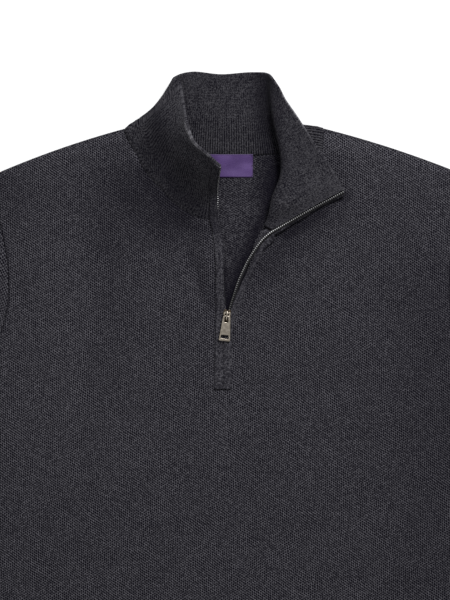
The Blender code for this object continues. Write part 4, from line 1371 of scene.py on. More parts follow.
@dataclass
class Panels(Piece):
    """The knitted front and back. Gaps lie to the left of the neck seam's run, grids are for a half."""

    collar: Collar
    front_wall: float = 1.6
    front_gap: float = -0.9
    front_grid: tuple = (196, 92)
    back_gap: float = 0.6
    back_grid: tuple = (150, 70, 1.5)
    outline_gap: float = 0.7

    def outline(self, side: Side) -> list[tuple]:
        """The front's outline at one side, from the hem to the shoulder point and in to the neck."""
        line = [outer_point(row, side) for row in FRONT_ROWS]
        inner = self.collar.seam_points(inner_end(FRONT_ROWS[-1], side), self.outline_gap)[0]
        shares = np.linspace(0.1, 1, 10)
        shoulder = row_points(np.array([line[-1]]), inner[None], shares, np.array([SHOULDER_BOW]))[0]
        return line + [tuple(point) for point in shoulder]

    def inner_curve(self, ends: list, numbers: Array, gap: float) -> Array:
        """A panel's inner border: straight between points, and along the neck seam where rows end on it.

        Args:
            ends: Each row's inner end, a point or a place along the seam.
            numbers: Row numbers, which may lie between rows.
            gap: Distance to the left of the seam's run.

        Returns:
            Points in plan, (n, 2).
        """
        first = next(number for number, end in enumerate(ends) if not isinstance(end, tuple))
        seam = self.collar.seam_points(np.array(ends[first:], float), gap)
        points = np.vstack((np.array(ends[:first], float), seam))
        rows = np.arange(len(ends))
        straight = np.column_stack([np.interp(numbers, rows, points[:, axis]) for axis in (0, 1)])
        places = np.interp(numbers, rows[first:], ends[first:])
        return np.where(numbers[:, None] < first, straight, self.collar.seam_points(places, gap))

    def height(self, plan: Array) -> Array:
        """Middle of the front's wall: level over the chest, eased down to its seams, plus its folds.

        A fold is a bell curve of the distance from its line, as high as it says.

        Args:
            plan: Points in plan.

        Returns:
            A height for each point.
        """
        edge = plan[..., 1] - FRONT_ROWS[0].outer[1]
        for side in Side:
            line = self.outline(side)
            for start, end in zip(line, line[1:]):
                edge = np.minimum(edge, distance_to_line(plan, start, end))
        height = np.full(plan.shape[:-1], CHEST_HEIGHT)
        for fold in FRONT_FOLDS + FINE_FOLDS:
            across = distance_to_line(plan, fold.start, fold.end) / fold.width
            height = height + fold.height * np.exp(-across * across)
        for place in NECK_SIDES:
            across = np.linalg.norm(plan - place, axis=-1) / NECK_SIDE_SPREAD
            height = height + NECK_SIDE_LIFT * np.exp(-across * across)
        height = height + swell(plan, CHEST_WAVES)
        height = np.maximum(height, BACK_WALL + self.front_wall / 2 + CLEARANCE)
        return EDGE_HEIGHT + (height - EDGE_HEIGHT) * ease(edge / EDGE_EASE)

    def half_grid(self, side: Side, ends: list, gap: float, rows: int, columns: int,
                  crowding: float = 1.0) -> Array:
        """A half panel in plan. Both halves read the same row numbers, so that they meet at the centre.

        Args:
            side: Which half.
            ends: The rows' inner ends.
            gap: How far the neck edge lies to the left of the seam's run.
            rows: How many rows to read.
            columns: How many points each has.
            crowding: Over 1, how much closer the points stand towards the centre.

        Returns:
            Points in plan, (rows, columns, 2).
        """
        knots = travelled(np.array([outer_point(row, Side.LEFT) for row in FRONT_ROWS], float))
        numbers = np.interp(np.linspace(0, knots[-1], rows), knots, np.arange(len(knots)))
        bow = SHOULDER_BOW * np.clip(numbers - (len(knots) - 2), 0, 1)
        outer, inner = outline_curve(side, numbers), self.inner_curve(ends, numbers, gap)
        return row_points(outer, inner, 1 - np.linspace(1, 0, columns) ** crowding, bow)

    def build_panel(self, word: str, all_ends: dict[Side, list], gap: float, grid: tuple,
                    heights: Callable[[Array], Array], shade: tuple[Fold, ...],
                    wall: float, material: Material) -> tuple[Object, dict]:
        """A panel as one sheet, made of two halves that meet down the centre or below the slit.

        Args:
            word: "front" or "back".
            all_ends: The rows' inner ends at each side.
            gap: How far the neck edge lies to the left of the seam's run.
            grid: Rows and columns of a half, and how much they crowd.
            heights: Gives the middle of the wall for points in plan.
            shade: Its bands of shade.
            wall: Its thickness.
            material: Its material.

        Returns:
            The panel, and the flat size and area of its cut in metres.
        """
        halves, plans, area = [], [], 0.0
        for side in Side:
            plan = self.half_grid(side, all_ends[side], gap, *grid)
            plans.append(plan.reshape(-1, 2))
            points = self.layout.place(np.dstack((plan, heights(plan))))
            area += grid_area(points)
            fields = {"shadow": gathered(plan, shade)}
            halves.append(grid_object(f"{word}_{side.name}", points, plan, fields=fields, weld=False))
        piece = thicken(joined(f"{word}_shell", halves), wall)
        self.hand_over(piece, material, "charcoal_knit", f"{word}_panel")
        width, length = np.ptp(np.vstack(plans), axis=0) * MM
        return piece, {"flat": (float(width), float(length)), "area": area}

    def build_front(self) -> tuple[Object, dict]:
        """The front, joined below the slit, and the size of its cut."""
        armholes = [[outer_point(row, side) for row in FRONT_ROWS[ARMHOLE_START:]] for side in Side]
        seams = tuple(Fold(start, end, *SEAM_SHADE)
                      for line in armholes for start, end in zip(line, line[1:]))
        ends = {side: [inner_end(row, side) for row in FRONT_ROWS] for side in Side}
        return self.build_panel("front", ends, self.front_gap, self.front_grid, self.height,
                                FRONT_SHADE + seams, self.front_wall, self.finishes.honeycomb)

    def build_back(self) -> None:
        """The back, flat on the surface, with its wrong side up."""
        ends = {side: [(1.0, y) for y in BACK_CENTRE] + [side.value * place for place in BACK_NECK]
                for side in Side}
        piece, cut = self.build_panel("back", ends, self.back_gap, self.back_grid,
                                      lambda plan: np.full(plan.shape[:-1], BACK_WALL / 2), BACK_SHADE,
                                      BACK_WALL - CLEARANCE, self.finishes.reverse)


def stadium(width: Array, height: float, steps: Array) -> tuple[Array, ...]:
    """A pressed tube's section: straight over the top and underneath, half circles at its edges.

    Args:
        width: Whole width, one for each row, (n, 1).
        height: Whole height.
        steps: Places round it, 0 to 1 across the top, 1 to 2 back underneath, (m,).

    Returns:
        Shares across, heights, and how far each point faces up, each (n, m).
    """
    radius = height / 2
    straight = width - 2 * radius
    lap = straight + math.pi * radius
    run = (steps % 1.0) * lap
    arc = math.pi * radius / 2
    start = np.clip(run / arc, 0, 1) * math.pi / 2
    finish = np.clip((run - arc - straight) / arc, 0, 1) * math.pi / 2
    x = radius - radius * np.cos(start) + np.clip(run - arc, 0, straight) + radius * np.sin(finish)
    rise = radius * np.sin(start) - radius * (1 - np.cos(finish))
    facing = np.sin(start) - 1 + np.cos(finish)
    over = steps < 1.0
    share = np.where(over, x, width - x) / width
    return share, radius + np.where(over, rise, -rise), np.where(over, facing, -facing)


@dataclass
class Sleeves(Piece):
    """The two sleeves, pressed flat, with their ribbed cuffs, and the ribbed hem.

    Attributes:
        rib_painted_light: Painted light that lifts the cuffs' and hem's shade, as a shadow field below 0.
        rib_base: The ridge's level at the wall's own surface.
        rib_middle: Strength of the ribs half way along.
        calm_ends: Its waves are full at 1 over this of the way in.
    """

    panels: Panels
    sleeve_length: float = 640.0
    angle: float = math.radians(55)
    end_width: float = 100.0
    cuff_length: float = 65.0
    cuff_width: float = 88.0
    hem_length: float = 65.0
    hem_inset: float = 8.0
    tube_height: float = 4.2
    loft: float = 2.0
    wall: float = 1.5
    rib_painted_light: float = 0.36
    rib_height: float = 0.5
    rib_base: float = 0.3
    rib_middle: float = 0.75
    points_per_rib: int = 5
    rib_rows: int = 15
    sleeve_grid: tuple = (130, 170)
    armhole_points: int = 160
    calm_ends: float = 9.0

    def ends(self, side: Side) -> tuple[Array, ...]:
        """The sleeve's end line, shoulder side first, its direction and the direction across it."""
        sign = side.value
        run = np.array((sign * math.sin(self.angle), -math.cos(self.angle)))
        across = np.array((-sign * math.cos(self.angle), -math.sin(self.angle)))
        start = np.array(outer_point(FRONT_ROWS[-1], side)) + run * (self.sleeve_length - self.cuff_length)
        return start, start + across * self.end_width, run, across

    def build_sleeve(self, side: Side, node: str) -> None:
        """A tube from the armhole's curve to the cuff: straight lines between the two ends' sections.

        Args:
            side: Which sleeve.
            node: The solid that it stands for.
        """
        armhole = outline_curve(side, np.linspace(len(FRONT_ROWS) - 1, ARMHOLE_START, 900))
        length = travelled(armhole)
        even = np.linspace(0, length[-1], self.armhole_points)
        armhole = np.column_stack([np.interp(even, length, armhole[:, axis]) for axis in (0, 1)])
        run = np.gradient(armhole, axis=0)
        armhole = armhole + CLEARANCE * side.value * unit(np.column_stack((-run[:, 1], run[:, 0])))
        width = travelled(armhole)[-1]
        end_top, end_under, _, _ = self.ends(side)
        rows, around = self.sleeve_grid
        t = np.linspace(0, 1, rows)[:, None]
        steps = np.linspace(0, 2, around, endpoint=False)
        share, height, facing = stadium(width + (self.end_width - width) * t, self.tube_height, steps)
        shares = np.linspace(0, 1, len(armhole))
        start = np.stack([np.interp(share, shares, armhole[:, i]) for i in (0, 1)], axis=-1)
        end = end_top + share[..., None] * (end_under - end_top)
        plan = blend(start, end, t[..., None])
        free = 4 * t * (1 - t) * np.sin(math.pi * share)
        lifted = height * (1 + self.loft * free / self.tube_height)
        upper = np.maximum(facing, 0) * ease(t * self.calm_ends) * ease((1 - t) * self.calm_ends)
        lifted = lifted + swell(plan, SLEEVE_WAVES) * upper
        points = self.layout.place(np.dstack((plan, np.maximum(lifted, LOWEST))))
        lap = np.concatenate((steps, (2.0,))) * (width + self.end_width) / 2
        down = t * (self.sleeve_length - self.cuff_length)
        piece = grid_object(f"{node}_shell", points, spread(lap, down), True, weld=False)
        thicken(piece, self.wall, self.inwards(points))
        self.hand_over(piece, self.finishes.honeycomb, "charcoal_knit", node)
        around, down = (travelled(points, axis=1)[0].max() + np.linalg.norm(points[0, 0] - points[0, -1]),
                        travelled(points, axis=0)[-1].max())

    def inwards(self, points: Array) -> float:
        """Solidify's offset that puts the wall inside a tube, from the way that its first face looks."""
        middle = points.shape[1] // 4
        first = points[1, middle] - points[0, middle]
        second = points[0, middle + 1] - points[0, middle]
        return -1.0 if np.cross(second, first)[2] > 0 else 1.0

    def build_rib_tube(self, name: str, node: str, upper: Array, lower: Array) -> None:
        """A pressed rib tube between two lines, its ribs raised wherever it doesn't face down.

        Args:
            name: The piece's name.
            node: The solid that it stands for.
            upper: The two ends of its upper line.
            lower: The two ends of its lower line.
        """
        length = np.linalg.norm(upper.mean(axis=0) - lower.mean(axis=0))
        widths = [np.linalg.norm(line[1] - line[0]) for line in (upper, lower)]
        t = np.linspace(0, 1, self.rib_rows)[:, None]
        width = widths[0] + (widths[1] - widths[0]) * t
        ribs = 2 * round(width.mean() / RIB_PITCH)
        steps = np.linspace(0, 2, ribs * self.points_per_rib, endpoint=False)
        share, height, facing = stadium(width, self.tube_height, steps)
        ridge, valley = rib_profile(steps / 2 * ribs)
        strength = self.rib_middle + (1 - self.rib_middle) * ease(abs(t - 0.5) * 2)
        strength = strength * ease(facing * 2 + 1.2)
        height = height + self.rib_height * (ridge - self.rib_base) * strength * np.maximum(facing, 0)
        ends = blend(upper[None], lower[None], t[..., None])
        plan = ends[:, :1] + share[..., None] * (ends[:, 1:] - ends[:, :1])
        points = self.layout.place(np.dstack((plan, np.maximum(height, LOWEST))))
        lap = np.concatenate((steps, (2.0,))) / 2 * ribs * RIB_PITCH
        # painted light: the shadow field below 0 brightens the whole tube; valley paints shade in the ribs'
        # valleys
        fields = {"valley": valley * strength, "shadow": 0 * strength - self.rib_painted_light}
        piece = grid_object(name, points, spread(lap, t * length), True, fields, weld=False)
        thicken(piece, self.wall, self.inwards(points))
        self.hand_over(piece, self.finishes.rib, "charcoal_rib", node)
        around = 2 * np.array(widths) + (math.pi - 2) * self.tube_height
        float(around.mean() * length) * MM**2

    def build(self) -> None:
        """Sleeves, cuffs and hem."""
        for side, word in ((Side.LEFT, "right"), (Side.RIGHT, "left")):
            self.build_sleeve(side, f"sleeve_{word}")
            end_top, end_under, run, across = self.ends(side)
            start = np.array((end_top, end_under)) + run * CLEARANCE
            inset = across * (self.end_width - self.cuff_width) / 2
            end = np.array((end_top + inset, end_under - inset)) + run * self.cuff_length
            self.build_rib_tube(f"cuff_{word}_rib", f"cuff_{word}", start, end)
        upper = np.array([outer_point(FRONT_ROWS[0], side) for side in Side]) - (0, CLEARANCE)
        lower = upper + ((self.hem_inset, -self.hem_length), (-self.hem_inset, -self.hem_length))
        self.build_rib_tube("hem_band", "hem_rib", upper, lower)


@dataclass
class Placket(Piece):
    """The plain edging beside the zip, the zip's tapes and its two rows of teeth.

    Ramps run up the layout, but for border, which runs from a band's middle to either border.

    Attributes:
        meeting: Height below which the two bands meet, the right one over the left by overlap.
        up_collar: Shade of the left band from collar_from on.
        tuck: How far the left chain lies under its band, and its share low down.
        tooth_shade: Heights and depths of the painted shade along the right row.
        left_deepest_shade: Middle, reach and depth of the deepest painted shade on the left row.
        tape_gap: How far the right band draws back to bare its tape.
        tape_knots: How many chain points apart the tape's direction is read.
    """

    collar: Collar
    panels: Panels
    trim_wall: float = 1.3
    band_points: int = 330
    ripples: tuple = ((0.02, 5.1, 0.0), (0.015, 1.9, 1.0))
    meeting: float = -19.0
    overlap: float = 0.32
    border: Ramp = Ramp(0.72, 0.25)
    up_collar: float = 0.42
    collar_from: Ramp = Ramp(62, 8)
    strip_thins: Ramp = Ramp(108, 8, 0.5)
    front_shade: float = 0.8
    chain_offset: float = 1.3
    chain_points: int = 700
    tuck: tuple = (1.9, 0.28)
    tuck_deepens: Ramp = Ramp(22, 22)
    tuck_ends: Ramp = Ramp(84, 10, 0.8)
    tooth_pitch: float = 2.1
    first_tooth: float = 0.9
    tooth_rings: tuple = ((-0.5, 0.65), (-0.32, 1.0), (0.32, 1.0), (0.5, 0.65))
    tooth_size: tuple = (0.74, 0.62)
    tooth_shift: float = 0.2
    # painted shade along the teeth, for the light and shade on their turning faces
    tooth_shade: tuple = ((-20, 0.8), (4, 0.85), (14, 0.72), (31, 0.6), (47, 0.5), (55, 0.3), (62, 0.08),
                          (69, 0.0), (77, 0.4), (86, 0.6), (110, 0.5))
    left_shade: float = 0.6
    left_deepest_shade: tuple = (105, 4, 0.93)
    tape_gap: float = 2.3
    gap_from: Ramp = Ramp(-2, 26)
    tape_reach: float = 2.5
    tape_inset: float = 0.75
    tape_drop: float = 0.45
    tape_wall: float = 0.4
    tape_knots: int = 35

    def band_rows(self, side: Side) -> Array:
        """Inner border, middle and zip edge of a band, down the collar and down the front, (n, 3, 3)."""
        edge, along, off, out = self.collar.edge(side)
        lift = self.collar.wall / 2 + self.trim_wall / 2
        rows = [
            [point + (straight if reach > 0 else level) * reach + face * lift
             for reach in TRIM_REACHES[side]]
            for point, level, straight, face in zip(edge, along, off, out)
        ]
        for row in TRIM_ROWS[side]:
            shares = np.array((0, 0.5, 1))
            plan = row_points(np.array([row.inner]), np.array([row.edge]), shares, np.zeros(1))[0]
            if plan[0, 1] < self.meeting:
                plan[1 - side.value, 0] -= side.value * self.overlap
            elif side is Side.RIGHT:
                plan[0] += unit(plan[2] - plan[0]) * self.tape_gap * self.gap_from(plan[0, 1])
            height = self.panels.height(plan) + self.panels.front_wall / 2 + self.trim_wall / 2 + CLEARANCE
            rows.append(np.column_stack((plan, height + row.lift)))
        return np.array(rows)

    def build_band(self, side: Side) -> Object:
        """A soft flat band: a squared ellipse carried along the zip's edge, bent through its middle line."""
        rows = self.band_rows(side)
        knots = travelled(rows[:, 1])
        places = np.linspace(0, knots[-1], self.band_points)
        lines = curve_through(knots, rows.reshape(-1, 9), places).reshape(-1, 3, 3)
        inner, middle, edge = lines.swapaxes(0, 1)
        across = (edge - inner) / 2
        centre = (edge + inner) / 2
        up = unit(np.cross(across, np.gradient(middle, axis=0)))
        loop = superellipse(28, 0.55, 0.8)
        ripple = 1.0
        for size, length, start in self.ripples:
            ripple = ripple + size * np.sin(places / length + start)
        rings = swept_loop(centre, across * ripple[:, None], up * self.trim_wall / 2, loop)
        rings = rings + ended(middle - centre)[:, None] * (1 - loop[:, :1] ** 2)
        lap = np.concatenate((loop[:, 0], loop[:1, 0])) * np.linalg.norm(across, axis=1).mean()
        at_inner, at_edge = BORDER_SHADES[side]
        shadow = at_inner * self.border(-loop[:, 0]) + at_edge * self.border(loop[:, 0])
        plan = rings[..., :2]
        # painted shade: border lines and highlight, the front's painted shade, and the left band darkened up
        # the collar
        on_front = self.collar_from.less(plan[..., 1]) if side is Side.LEFT else 1.0
        shadow = np.maximum(shadow * on_front, self.front_shade * gathered(plan, FRONT_SHADE))
        strip = self.up_collar * self.strip_thins.less(plan[..., 1])
        word = side.name.lower()
        piece = grid_object(f"edging_{word}", self.layout.place(rings), spread(lap, ended(places)[:, None]),
                            True, {"shadow": shadow + strip * (1 - on_front)})
        return self.hand_over(piece, self.finishes.trim, "charcoal_trim", f"trim_{word}")

    def chain(self, side: Side) -> Array:
        """The middle of a tooth row, from the collar's top edge down to the placket's end."""
        edge, _, off, _ = self.collar.edge(side)
        route = np.vstack((edge + off * self.chain_offset, CHAIN_ROUTES[side]))
        line = resampled(route, self.chain_points)
        if side is Side.LEFT:
            depth, least = self.tuck
            below = self.tuck_ends.less(line[:, 1])
            line[:, 0] -= depth * (least + (1 - least) * self.tuck_deepens(line[:, 1]) * below)
        return line

    def build_teeth(self, side: Side) -> None:
        """Teeth as small chamfered blocks, one for each pitch of the chain's length."""
        line = self.chain(side)
        length = travelled(line)
        places = np.arange(self.first_tooth, length[-1], self.tooth_pitch)
        centre = curve_through(length, line, places)
        run = unit(curve_through(length, np.gradient(line, axis=0), places))
        lift = unit(np.array((0, 0, 1.0)) - run * run[:, 2:])
        side_way = np.cross(run, lift)
        loop = superellipse(8, 0.8, 0.8) * self.tooth_size - (self.tooth_shift * side.value, 0)
        local = np.array([(t, a * s, u * s) for t, s in self.tooth_rings for a, u in loop])
        points = centre[:, None] + local @ np.stack((run, side_way, lift), axis=1)
        around = np.arange(8)
        sides = [np.column_stack((k * 8 + around, k * 8 + (around + 1) % 8,
                                  (k + 1) * 8 + (around + 1) % 8, (k + 1) * 8 + around)) for k in range(3)]
        caps = np.array(((3, 2, 1, 0), (7, 4, 3, 0), (7, 6, 5, 4)))
        block = np.vstack((*sides, caps, caps[:, ::-1] + 24))
        faces = (block[None] + len(local) * np.arange(len(centre))[:, None, None]).reshape(-1, 4)
        word = side.name.lower()
        mesh = bpy.data.meshes.new(f"zip_teeth_{word}")
        mesh.from_pydata(self.layout.place(points).reshape(-1, 3).tolist(), [], faces.tolist())
        height = centre[:, 1]
        # painted shade for each tooth, which their metal darkens toward black
        if side is Side.RIGHT:
            shade = np.interp(height, *zip(*self.tooth_shade))
        else:
            place, reach, depth = self.left_deepest_shade
            shade = np.maximum(self.left_shade, depth * np.exp(-((height - place) / reach) ** 2))
        values = np.repeat(shade, len(local))
        mesh.attributes.new("shadow", "FLOAT", "POINT").data.foreach_set("value", values)
        piece = linked(mesh.name, mesh)
        mend(mesh)
        self.hand_over(piece, self.finishes.teeth, "silver_teeth", f"zip_chain_{word}")

    def build_tape(self, side: Side) -> Object:
        """The tape: a sheet from just inside the teeth outwards, over the edging where that lies lower."""
        line = self.chain(side)
        rows = resampled(self.band_rows(side).reshape(-1, 9), self.chain_points)
        middle, border = rows[:, 3:6], rows[:, 6:9] if side is Side.RIGHT else rows[:, 0:3]
        nearest = np.argmin(np.linalg.norm(line[:, None] - middle[None], axis=-1), axis=1)
        numbers = np.arange(self.chain_points)
        knots = numbers[::self.tape_knots]
        level = np.interp(numbers, knots, middle[nearest, 2][::self.tape_knots])
        outwards = ((border[nearest] - line) * (1, 1, 0))[::self.tape_knots]
        outwards = unit(np.column_stack([np.interp(numbers, knots, outwards[:, i]) for i in range(3)]))
        start = line - outwards * self.tape_inset - (0, 0, self.tape_drop)
        end = line + outwards * self.tape_reach
        over = ease((line[:, 2] - level) / 2 + 0.5)
        end[:, 2] = blend(line[:, 2] - 0.3, level + self.trim_wall / 2 + 0.25, over)
        share = np.linspace(0, 1, 6)[:, None]
        points = self.layout.place(blend(start[:, None], end[:, None], share))
        cloth = spread(share[:, 0] * 5, travelled(line)[:, None])
        piece = thicken(grid_object(f"zip_tape_{side.name.lower()}", points, cloth), self.tape_wall)
        return self.hand_over(piece, self.finishes.tape, "charcoal_trim")

    def build(self) -> list[Object]:
        """Bands, teeth and tapes of both sides. Returns the soft strips: bands and tapes."""
        strips = []
        for side in Side:
            strips += [self.build_band(side), self.build_tape(side)]
            self.build_teeth(side)
        return strips


@dataclass
class Fastener(Piece):
    """The zip's slider, its bridge and the pull tab."""

    tilt: float = math.radians(-5.7)
    place: tuple = (4.9, -15.5, 7.9)
    plate_wall: float = 1.1
    bridge_radius: float = 0.65
    post_radius: float = 1.1
    bridge_top: float = 12.6
    bridge_length: float = 8.6
    axis: tuple = (0.0, -0.8, 2.7)
    rest_slope: float = math.radians(4.2)
    pull_length: float = 25.5
    pull_widths: tuple = (7.2, 11.5)
    pull_wall: float = 1.4
    pull_head: float = 0.7

    def slider_matrix(self) -> Matrix:
        """From the slider's own millimetres to the layout's."""
        return Matrix.Translation(self.place) @ Matrix.Rotation(self.tilt, 4, "Z")

    def settle(self, name: str, mesh: Mesh, matrix: Matrix, *nodes: str, body: str = BODY,
               finish: Material | None = None) -> None:
        """Moves a mesh from its own millimetres to its place in metres and hands it over as an object.

        Args:
            name: The piece's name.
            mesh: Its mesh.
            matrix: From the mesh's millimetres to the layout's.
            nodes: The solids that it stands for.
            body: The body that it rides on.
            finish: Its material, nickel if none is given.
        """
        mesh.transform(Matrix.Scale(MM, 4) @ Matrix.Translation(self.layout.shift) @ matrix)
        mesh.shade_smooth()
        mesh.set_sharp_from_angle(angle=math.radians(35))
        mesh.name = name
        finish = finish or self.finishes.nickel
        self.hand_over(linked(name, mesh), finish, "antique_nickel", *nodes, body=body)

    def plate(self, name: str, loops: list[list[Vector]], wall: float, bevel: float) -> Mesh:
        """A flat plate with rounded rims.

        Args:
            name: The mesh's name.
            loops: Its outline, then its holes.
            wall: Its thickness.
            bevel: Radius of its rims.

        Returns:
            The mesh, middle of its wall at z 0.
        """
        curve = bpy.data.curves.new(name, "CURVE")
        curve.dimensions = "2D"
        curve.fill_mode = "BOTH"
        curve.extrude = wall / 2 - bevel
        curve.bevel_depth = bevel
        curve.bevel_resolution = 3
        curve.offset = -bevel
        for outline in loops:
            spline = curve.splines.new("POLY")
            spline.use_cyclic_u = True
            spline.points.add(len(outline) - 1)
            for target, point in zip(spline.points, outline):
                target.co = (point[0], point[1], 0, 1)
        flat = linked(name, curve)
        depsgraph = bpy.context.evaluated_depsgraph_get()
        mesh = bpy.data.meshes.new_from_object(flat.evaluated_get(depsgraph))
        bpy.data.objects.remove(flat, do_unlink=True)
        mend(mesh, 0.001)
        return mesh

    def rounded(self, corners: list[tuple], radii: list[float], steps: int = 7) -> list[Vector]:
        """A closed outline whose corners are arcs of the given radii."""
        corners = [Vector(corner) for corner in corners]
        outline = []
        ring = zip(corners[-1:] + corners[:-1], corners, corners[1:] + corners[:1], radii)
        for before, corner, after, radius in ring:
            back, forth = (before - corner).normalized(), (after - corner).normalized()
            half = back.angle(forth) / 2
            middle = corner + (back + forth).normalized() * (radius / math.sin(half))
            start = corner + back * (radius / math.tan(half)) - middle
            end = corner + forth * (radius / math.tan(half)) - middle
            turn = start.angle_signed(end)
            for step in range(steps + 1):
                spoke = start.copy()
                spoke.rotate(Matrix.Rotation(-turn * step / steps, 2))
                outline.append(middle + spoke)
        return outline

    def tube(self, name: str, path: Array, radius: float) -> Mesh:
        """A round bar along a path in the slider's own millimetres, with closed ends."""
        line = resampled(path, 60)
        run = unit(np.gradient(line, axis=0))
        side = np.array((1.0, 0, 0)) + 0 * run
        up = np.cross(run, side)
        rings = swept_loop(line, side * radius, up * radius, superellipse(14))
        made = grid_object(name, rings, around=True)
        mesh = made.data
        bpy.data.objects.remove(made, do_unlink=True)
        return mesh

    def build_slider(self) -> None:
        """Two plates with flared shoulders and a notch between, the upper one dark with painted shadow, a
        bright crown, the post and the bridge.
        """
        matrix = self.slider_matrix()
        corners = [(-3.3, -5.9), (3.3, -5.9), (3.9, 1.8), (3.7, 5.4), (1.6, 6.0), (0, 5.0), (-1.6, 6.0),
                   (-3.7, 5.4), (-3.9, 1.8)]
        body = self.rounded(corners, [0.9, 0.9, 2.5, 1.2, 0.8, 0.6, 0.8, 1.2, 2.5])
        corners = [(-3.5, 0.2), (-2.3, 0.2), (-2.2, 1.7), (2.2, 1.7), (2.3, 0.2), (3.5, 0.2), (3.4, 3.4),
                   (-3.4, 3.4)]
        crown = self.rounded(corners, [0.4] * 8)
        for name, outline, height, wall, bevel, nodes, finish in (
            # the upper plate takes the dark nickel of painted shadow
            ("upper_plate", body, self.plate_wall / 2, self.plate_wall, 0.3, ("zip_slider",),
             self.finishes.dull),
            ("lower_plate", body, -3.2, 0.8, 0.3, (), None),
            ("crown", crown, self.plate_wall + 0.2, 0.6, 0.15, (), None),
        ):
            mesh = self.plate(name, [outline], wall, bevel)
            self.settle(f"slider_{name}", mesh, matrix @ Matrix.Translation((0, 0, height)), *nodes,
                        finish=finish)
        rise = self.bridge_top - self.place[2]
        half = self.bridge_length / 2
        side = ((half, 0.4), (half, rise - 1.5), (half - 0.6, rise - 0.4), (half - 1.9, rise))
        arch = [(0, -y, z) for y, z in side] + [(0, y, z) for y, z in side[::-1]]
        post = [(0, 3.6, z) for z in (-3.0, -1.5, 0.3)]
        for name, path, radius in (("bridge", arch, self.bridge_radius), ("post", post, self.post_radius)):
            self.settle(f"slider_{name}", self.tube(name, np.array(path), radius), matrix)

    def build_pull(self) -> None:
        """The tab: a tapered bare plate with an eye and a slot."""
        matrix = (self.slider_matrix() @ Matrix.Translation(self.axis)
                  @ Matrix.Rotation(self.rest_slope, 4, "X"))
        top, foot = (width / 2 for width in self.pull_widths)
        head = self.pull_head
        length = self.pull_length - head
        loops = [self.rounded([(-upper, start), (upper, start), (lower, end), (-lower, end)],
                              [upper_radius] * 2 + [lower_radius] * 2)
                 for upper, start, lower, end, upper_radius, lower_radius in (
                     (top, head, foot, -length, 1.9, 1.1),
                     (1.9, -head, 2.1, -head - 5.4, 1.2, 0.9),
                     (3.9, -length + 6.0, 4.0, -length + 2.3, 0.6, 0.6))]
        mesh = self.plate("pull", loops, self.pull_wall, 0.32)
        self.settle("pull_tab", mesh, matrix, "zip_pull", body=PULL_BODY)

    def build(self) -> None:
        """Slider and pull."""
        self.build_slider()
        self.build_pull()


@dataclass
class NeckLabel(Piece):
    """The bare satin label with its corner stitches."""

    size: tuple = LABEL_SIZE
    top: float = LABEL_TOP
    wall: float = 0.5

    def surface(self, across: Array, down: Array) -> Array:
        """The label's middle: eased from the neck seam down to the back, with a slight lift of its sides.

        Args:
            across: Shares across, from -0.5 to 0.5.
            down: Shares down, from 0 to 1.

        Returns:
            Points of the layout.
        """
        high, low = 3.6, BACK_WALL + 0.5
        z = low + (high - low) * (1 - ease(down * 2.2))
        z = z + 0.35 * np.sin(across * 9 + 0.6) * np.sin(down * 5.1) ** 2 + 0.25 * (2 * across) ** 4
        x, y = across * self.size[0] + 0 * down, self.top - self.size[1] * down + 0 * across
        return np.stack((x, y, z), -1)

    def build(self) -> None:
        """The label and the stitches that hold its ends."""
        across, down = np.meshgrid(np.linspace(-0.5, 0.5, 96), np.linspace(0, 1, 40))
        points = self.layout.place(self.surface(across, down))
        cloth = spread((across + 0.5) * self.size[0], down * self.size[1])
        piece = thicken(grid_object("label", points, cloth), self.wall)
        self.hand_over(piece, self.finishes.satin, "purple_satin", "neck_label")
        stitches = []
        reach = np.linspace(-1, 1, 9)
        for number, (x, y) in enumerate((x, y) for x in (-0.485, 0.485) for y in (0.06, 0.5, 0.94)):
            middle = self.surface(np.array(x), np.array(y)) + (0, 0, self.wall / 2)
            line = middle + np.column_stack((reach * 1.3, 0.25 * reach, 0.18 * (1 - reach**2) - 0.05))
            across, up = (np.tile(way, (len(line), 1)) for way in ((0, 0.22, 0), (0, 0, 0.2)))
            rings = swept_loop(line, across, up, superellipse(8))
            cloth = np.zeros((len(rings), 9, 2))
            stitches.append(grid_object(f"label_stitch_{number}", self.layout.place(rings), cloth, True))
        thread = self.hand_over(joined("label_stitches", stitches), self.finishes.thread, "charcoal_trim")


# ---- Floor, light and camera ----


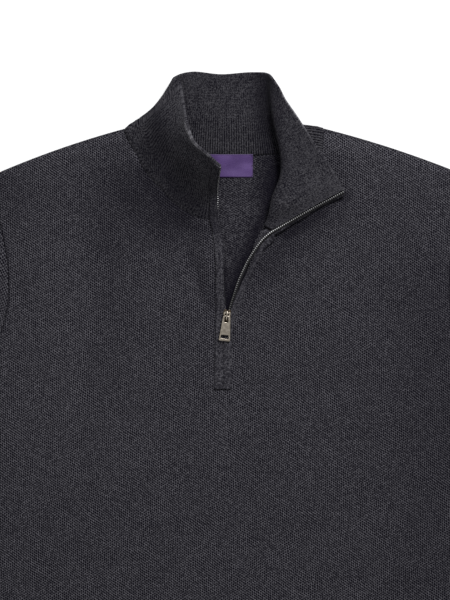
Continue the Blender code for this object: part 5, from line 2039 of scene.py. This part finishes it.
@dataclass
class Studio:
    """A pale floor, soft light that is stronger from the upper right, and a camera straight above."""

    layout: Layout
    view_middle: tuple = (3.0, 0.0, 5.0)
    view_height: float = 600.0
    camera_height: float = 4000.0
    key: float = 112.0
    fill: float = 13.0
    world: float = 0.30

    def build_floor(self) -> None:
        """A broad level floor."""
        reach = np.linspace(-3.0, 3.0, 2)
        x, y = np.meshgrid(reach, reach)
        floor = grid_object("studio_floor", np.stack((x, y, 0 * x - 0.0002), axis=-1))
        floor.data.materials.append(FloorFinish("studio_pale", (0.86, 0.86, 0.865)).material())

    def add_light(self, name: str, place: tuple, size: float, power: float) -> None:
        """A square light that looks at the middle of the view."""
        light = bpy.data.lights.new(name, "AREA")
        light.size = size
        light.energy = power
        lamp = linked(name, light)
        target = Vector(self.layout.place(self.view_middle))
        lamp.location = Vector(place)
        lamp.rotation_euler = (target - lamp.location).to_track_quat("-Z", "Y").to_euler()

    def build_camera(self) -> None:
        """A long lens straight above, whose frame is as high as the view at the cloth."""
        camera = bpy.data.cameras.new("camera")
        camera.sensor_fit = "VERTICAL"
        camera.sensor_height = 24.0
        camera.lens = camera.sensor_height * self.camera_height / self.view_height
        camera.clip_end = 20.0
        lens = linked("camera", camera)
        lens.location = Vector(self.layout.place(self.view_middle)) + Vector((0, 0, self.camera_height * MM))
        bpy.context.scene.camera = lens

    def build(self) -> None:
        """Floor, lights, world and camera."""
        self.build_floor()
        self.add_light("key_light", (0.9, 2.1, 1.9), 0.9, self.key)
        self.add_light("fill_light", (-1.9, -0.9, 2.1), 1.6, self.fill)
        world = bpy.data.worlds.new("studio_world")
        world.use_nodes = True
        background = world.node_tree.nodes["Background"]
        background.inputs["Color"].default_value = (1.0, 1.0, 1.0, 1)
        background.inputs["Strength"].default_value = self.world
        bpy.context.scene.world = world
        bpy.context.scene.view_settings.view_transform = "Standard"
        self.build_camera()


def main() -> None:
    """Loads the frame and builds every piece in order."""
    logging.basicConfig(level=logging.INFO, format="%(message)s")
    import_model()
    layout = Layout.from_frame(LABEL_TOP)
    finishes = Finishes.made()
    Studio(layout).build()
    collar = Collar(layout, finishes)
    collar.build()
    panels = Panels(layout, finishes, collar)
    front, cut = panels.build_front()
    panels.build_back()
    Sleeves(layout, finishes, panels).build()
    strips = Placket(layout, finishes, collar, panels).build()
    Fastener(layout, finishes).build()
    NeckLabel(layout, finishes).build()


if __name__ == "__main__":
    main()
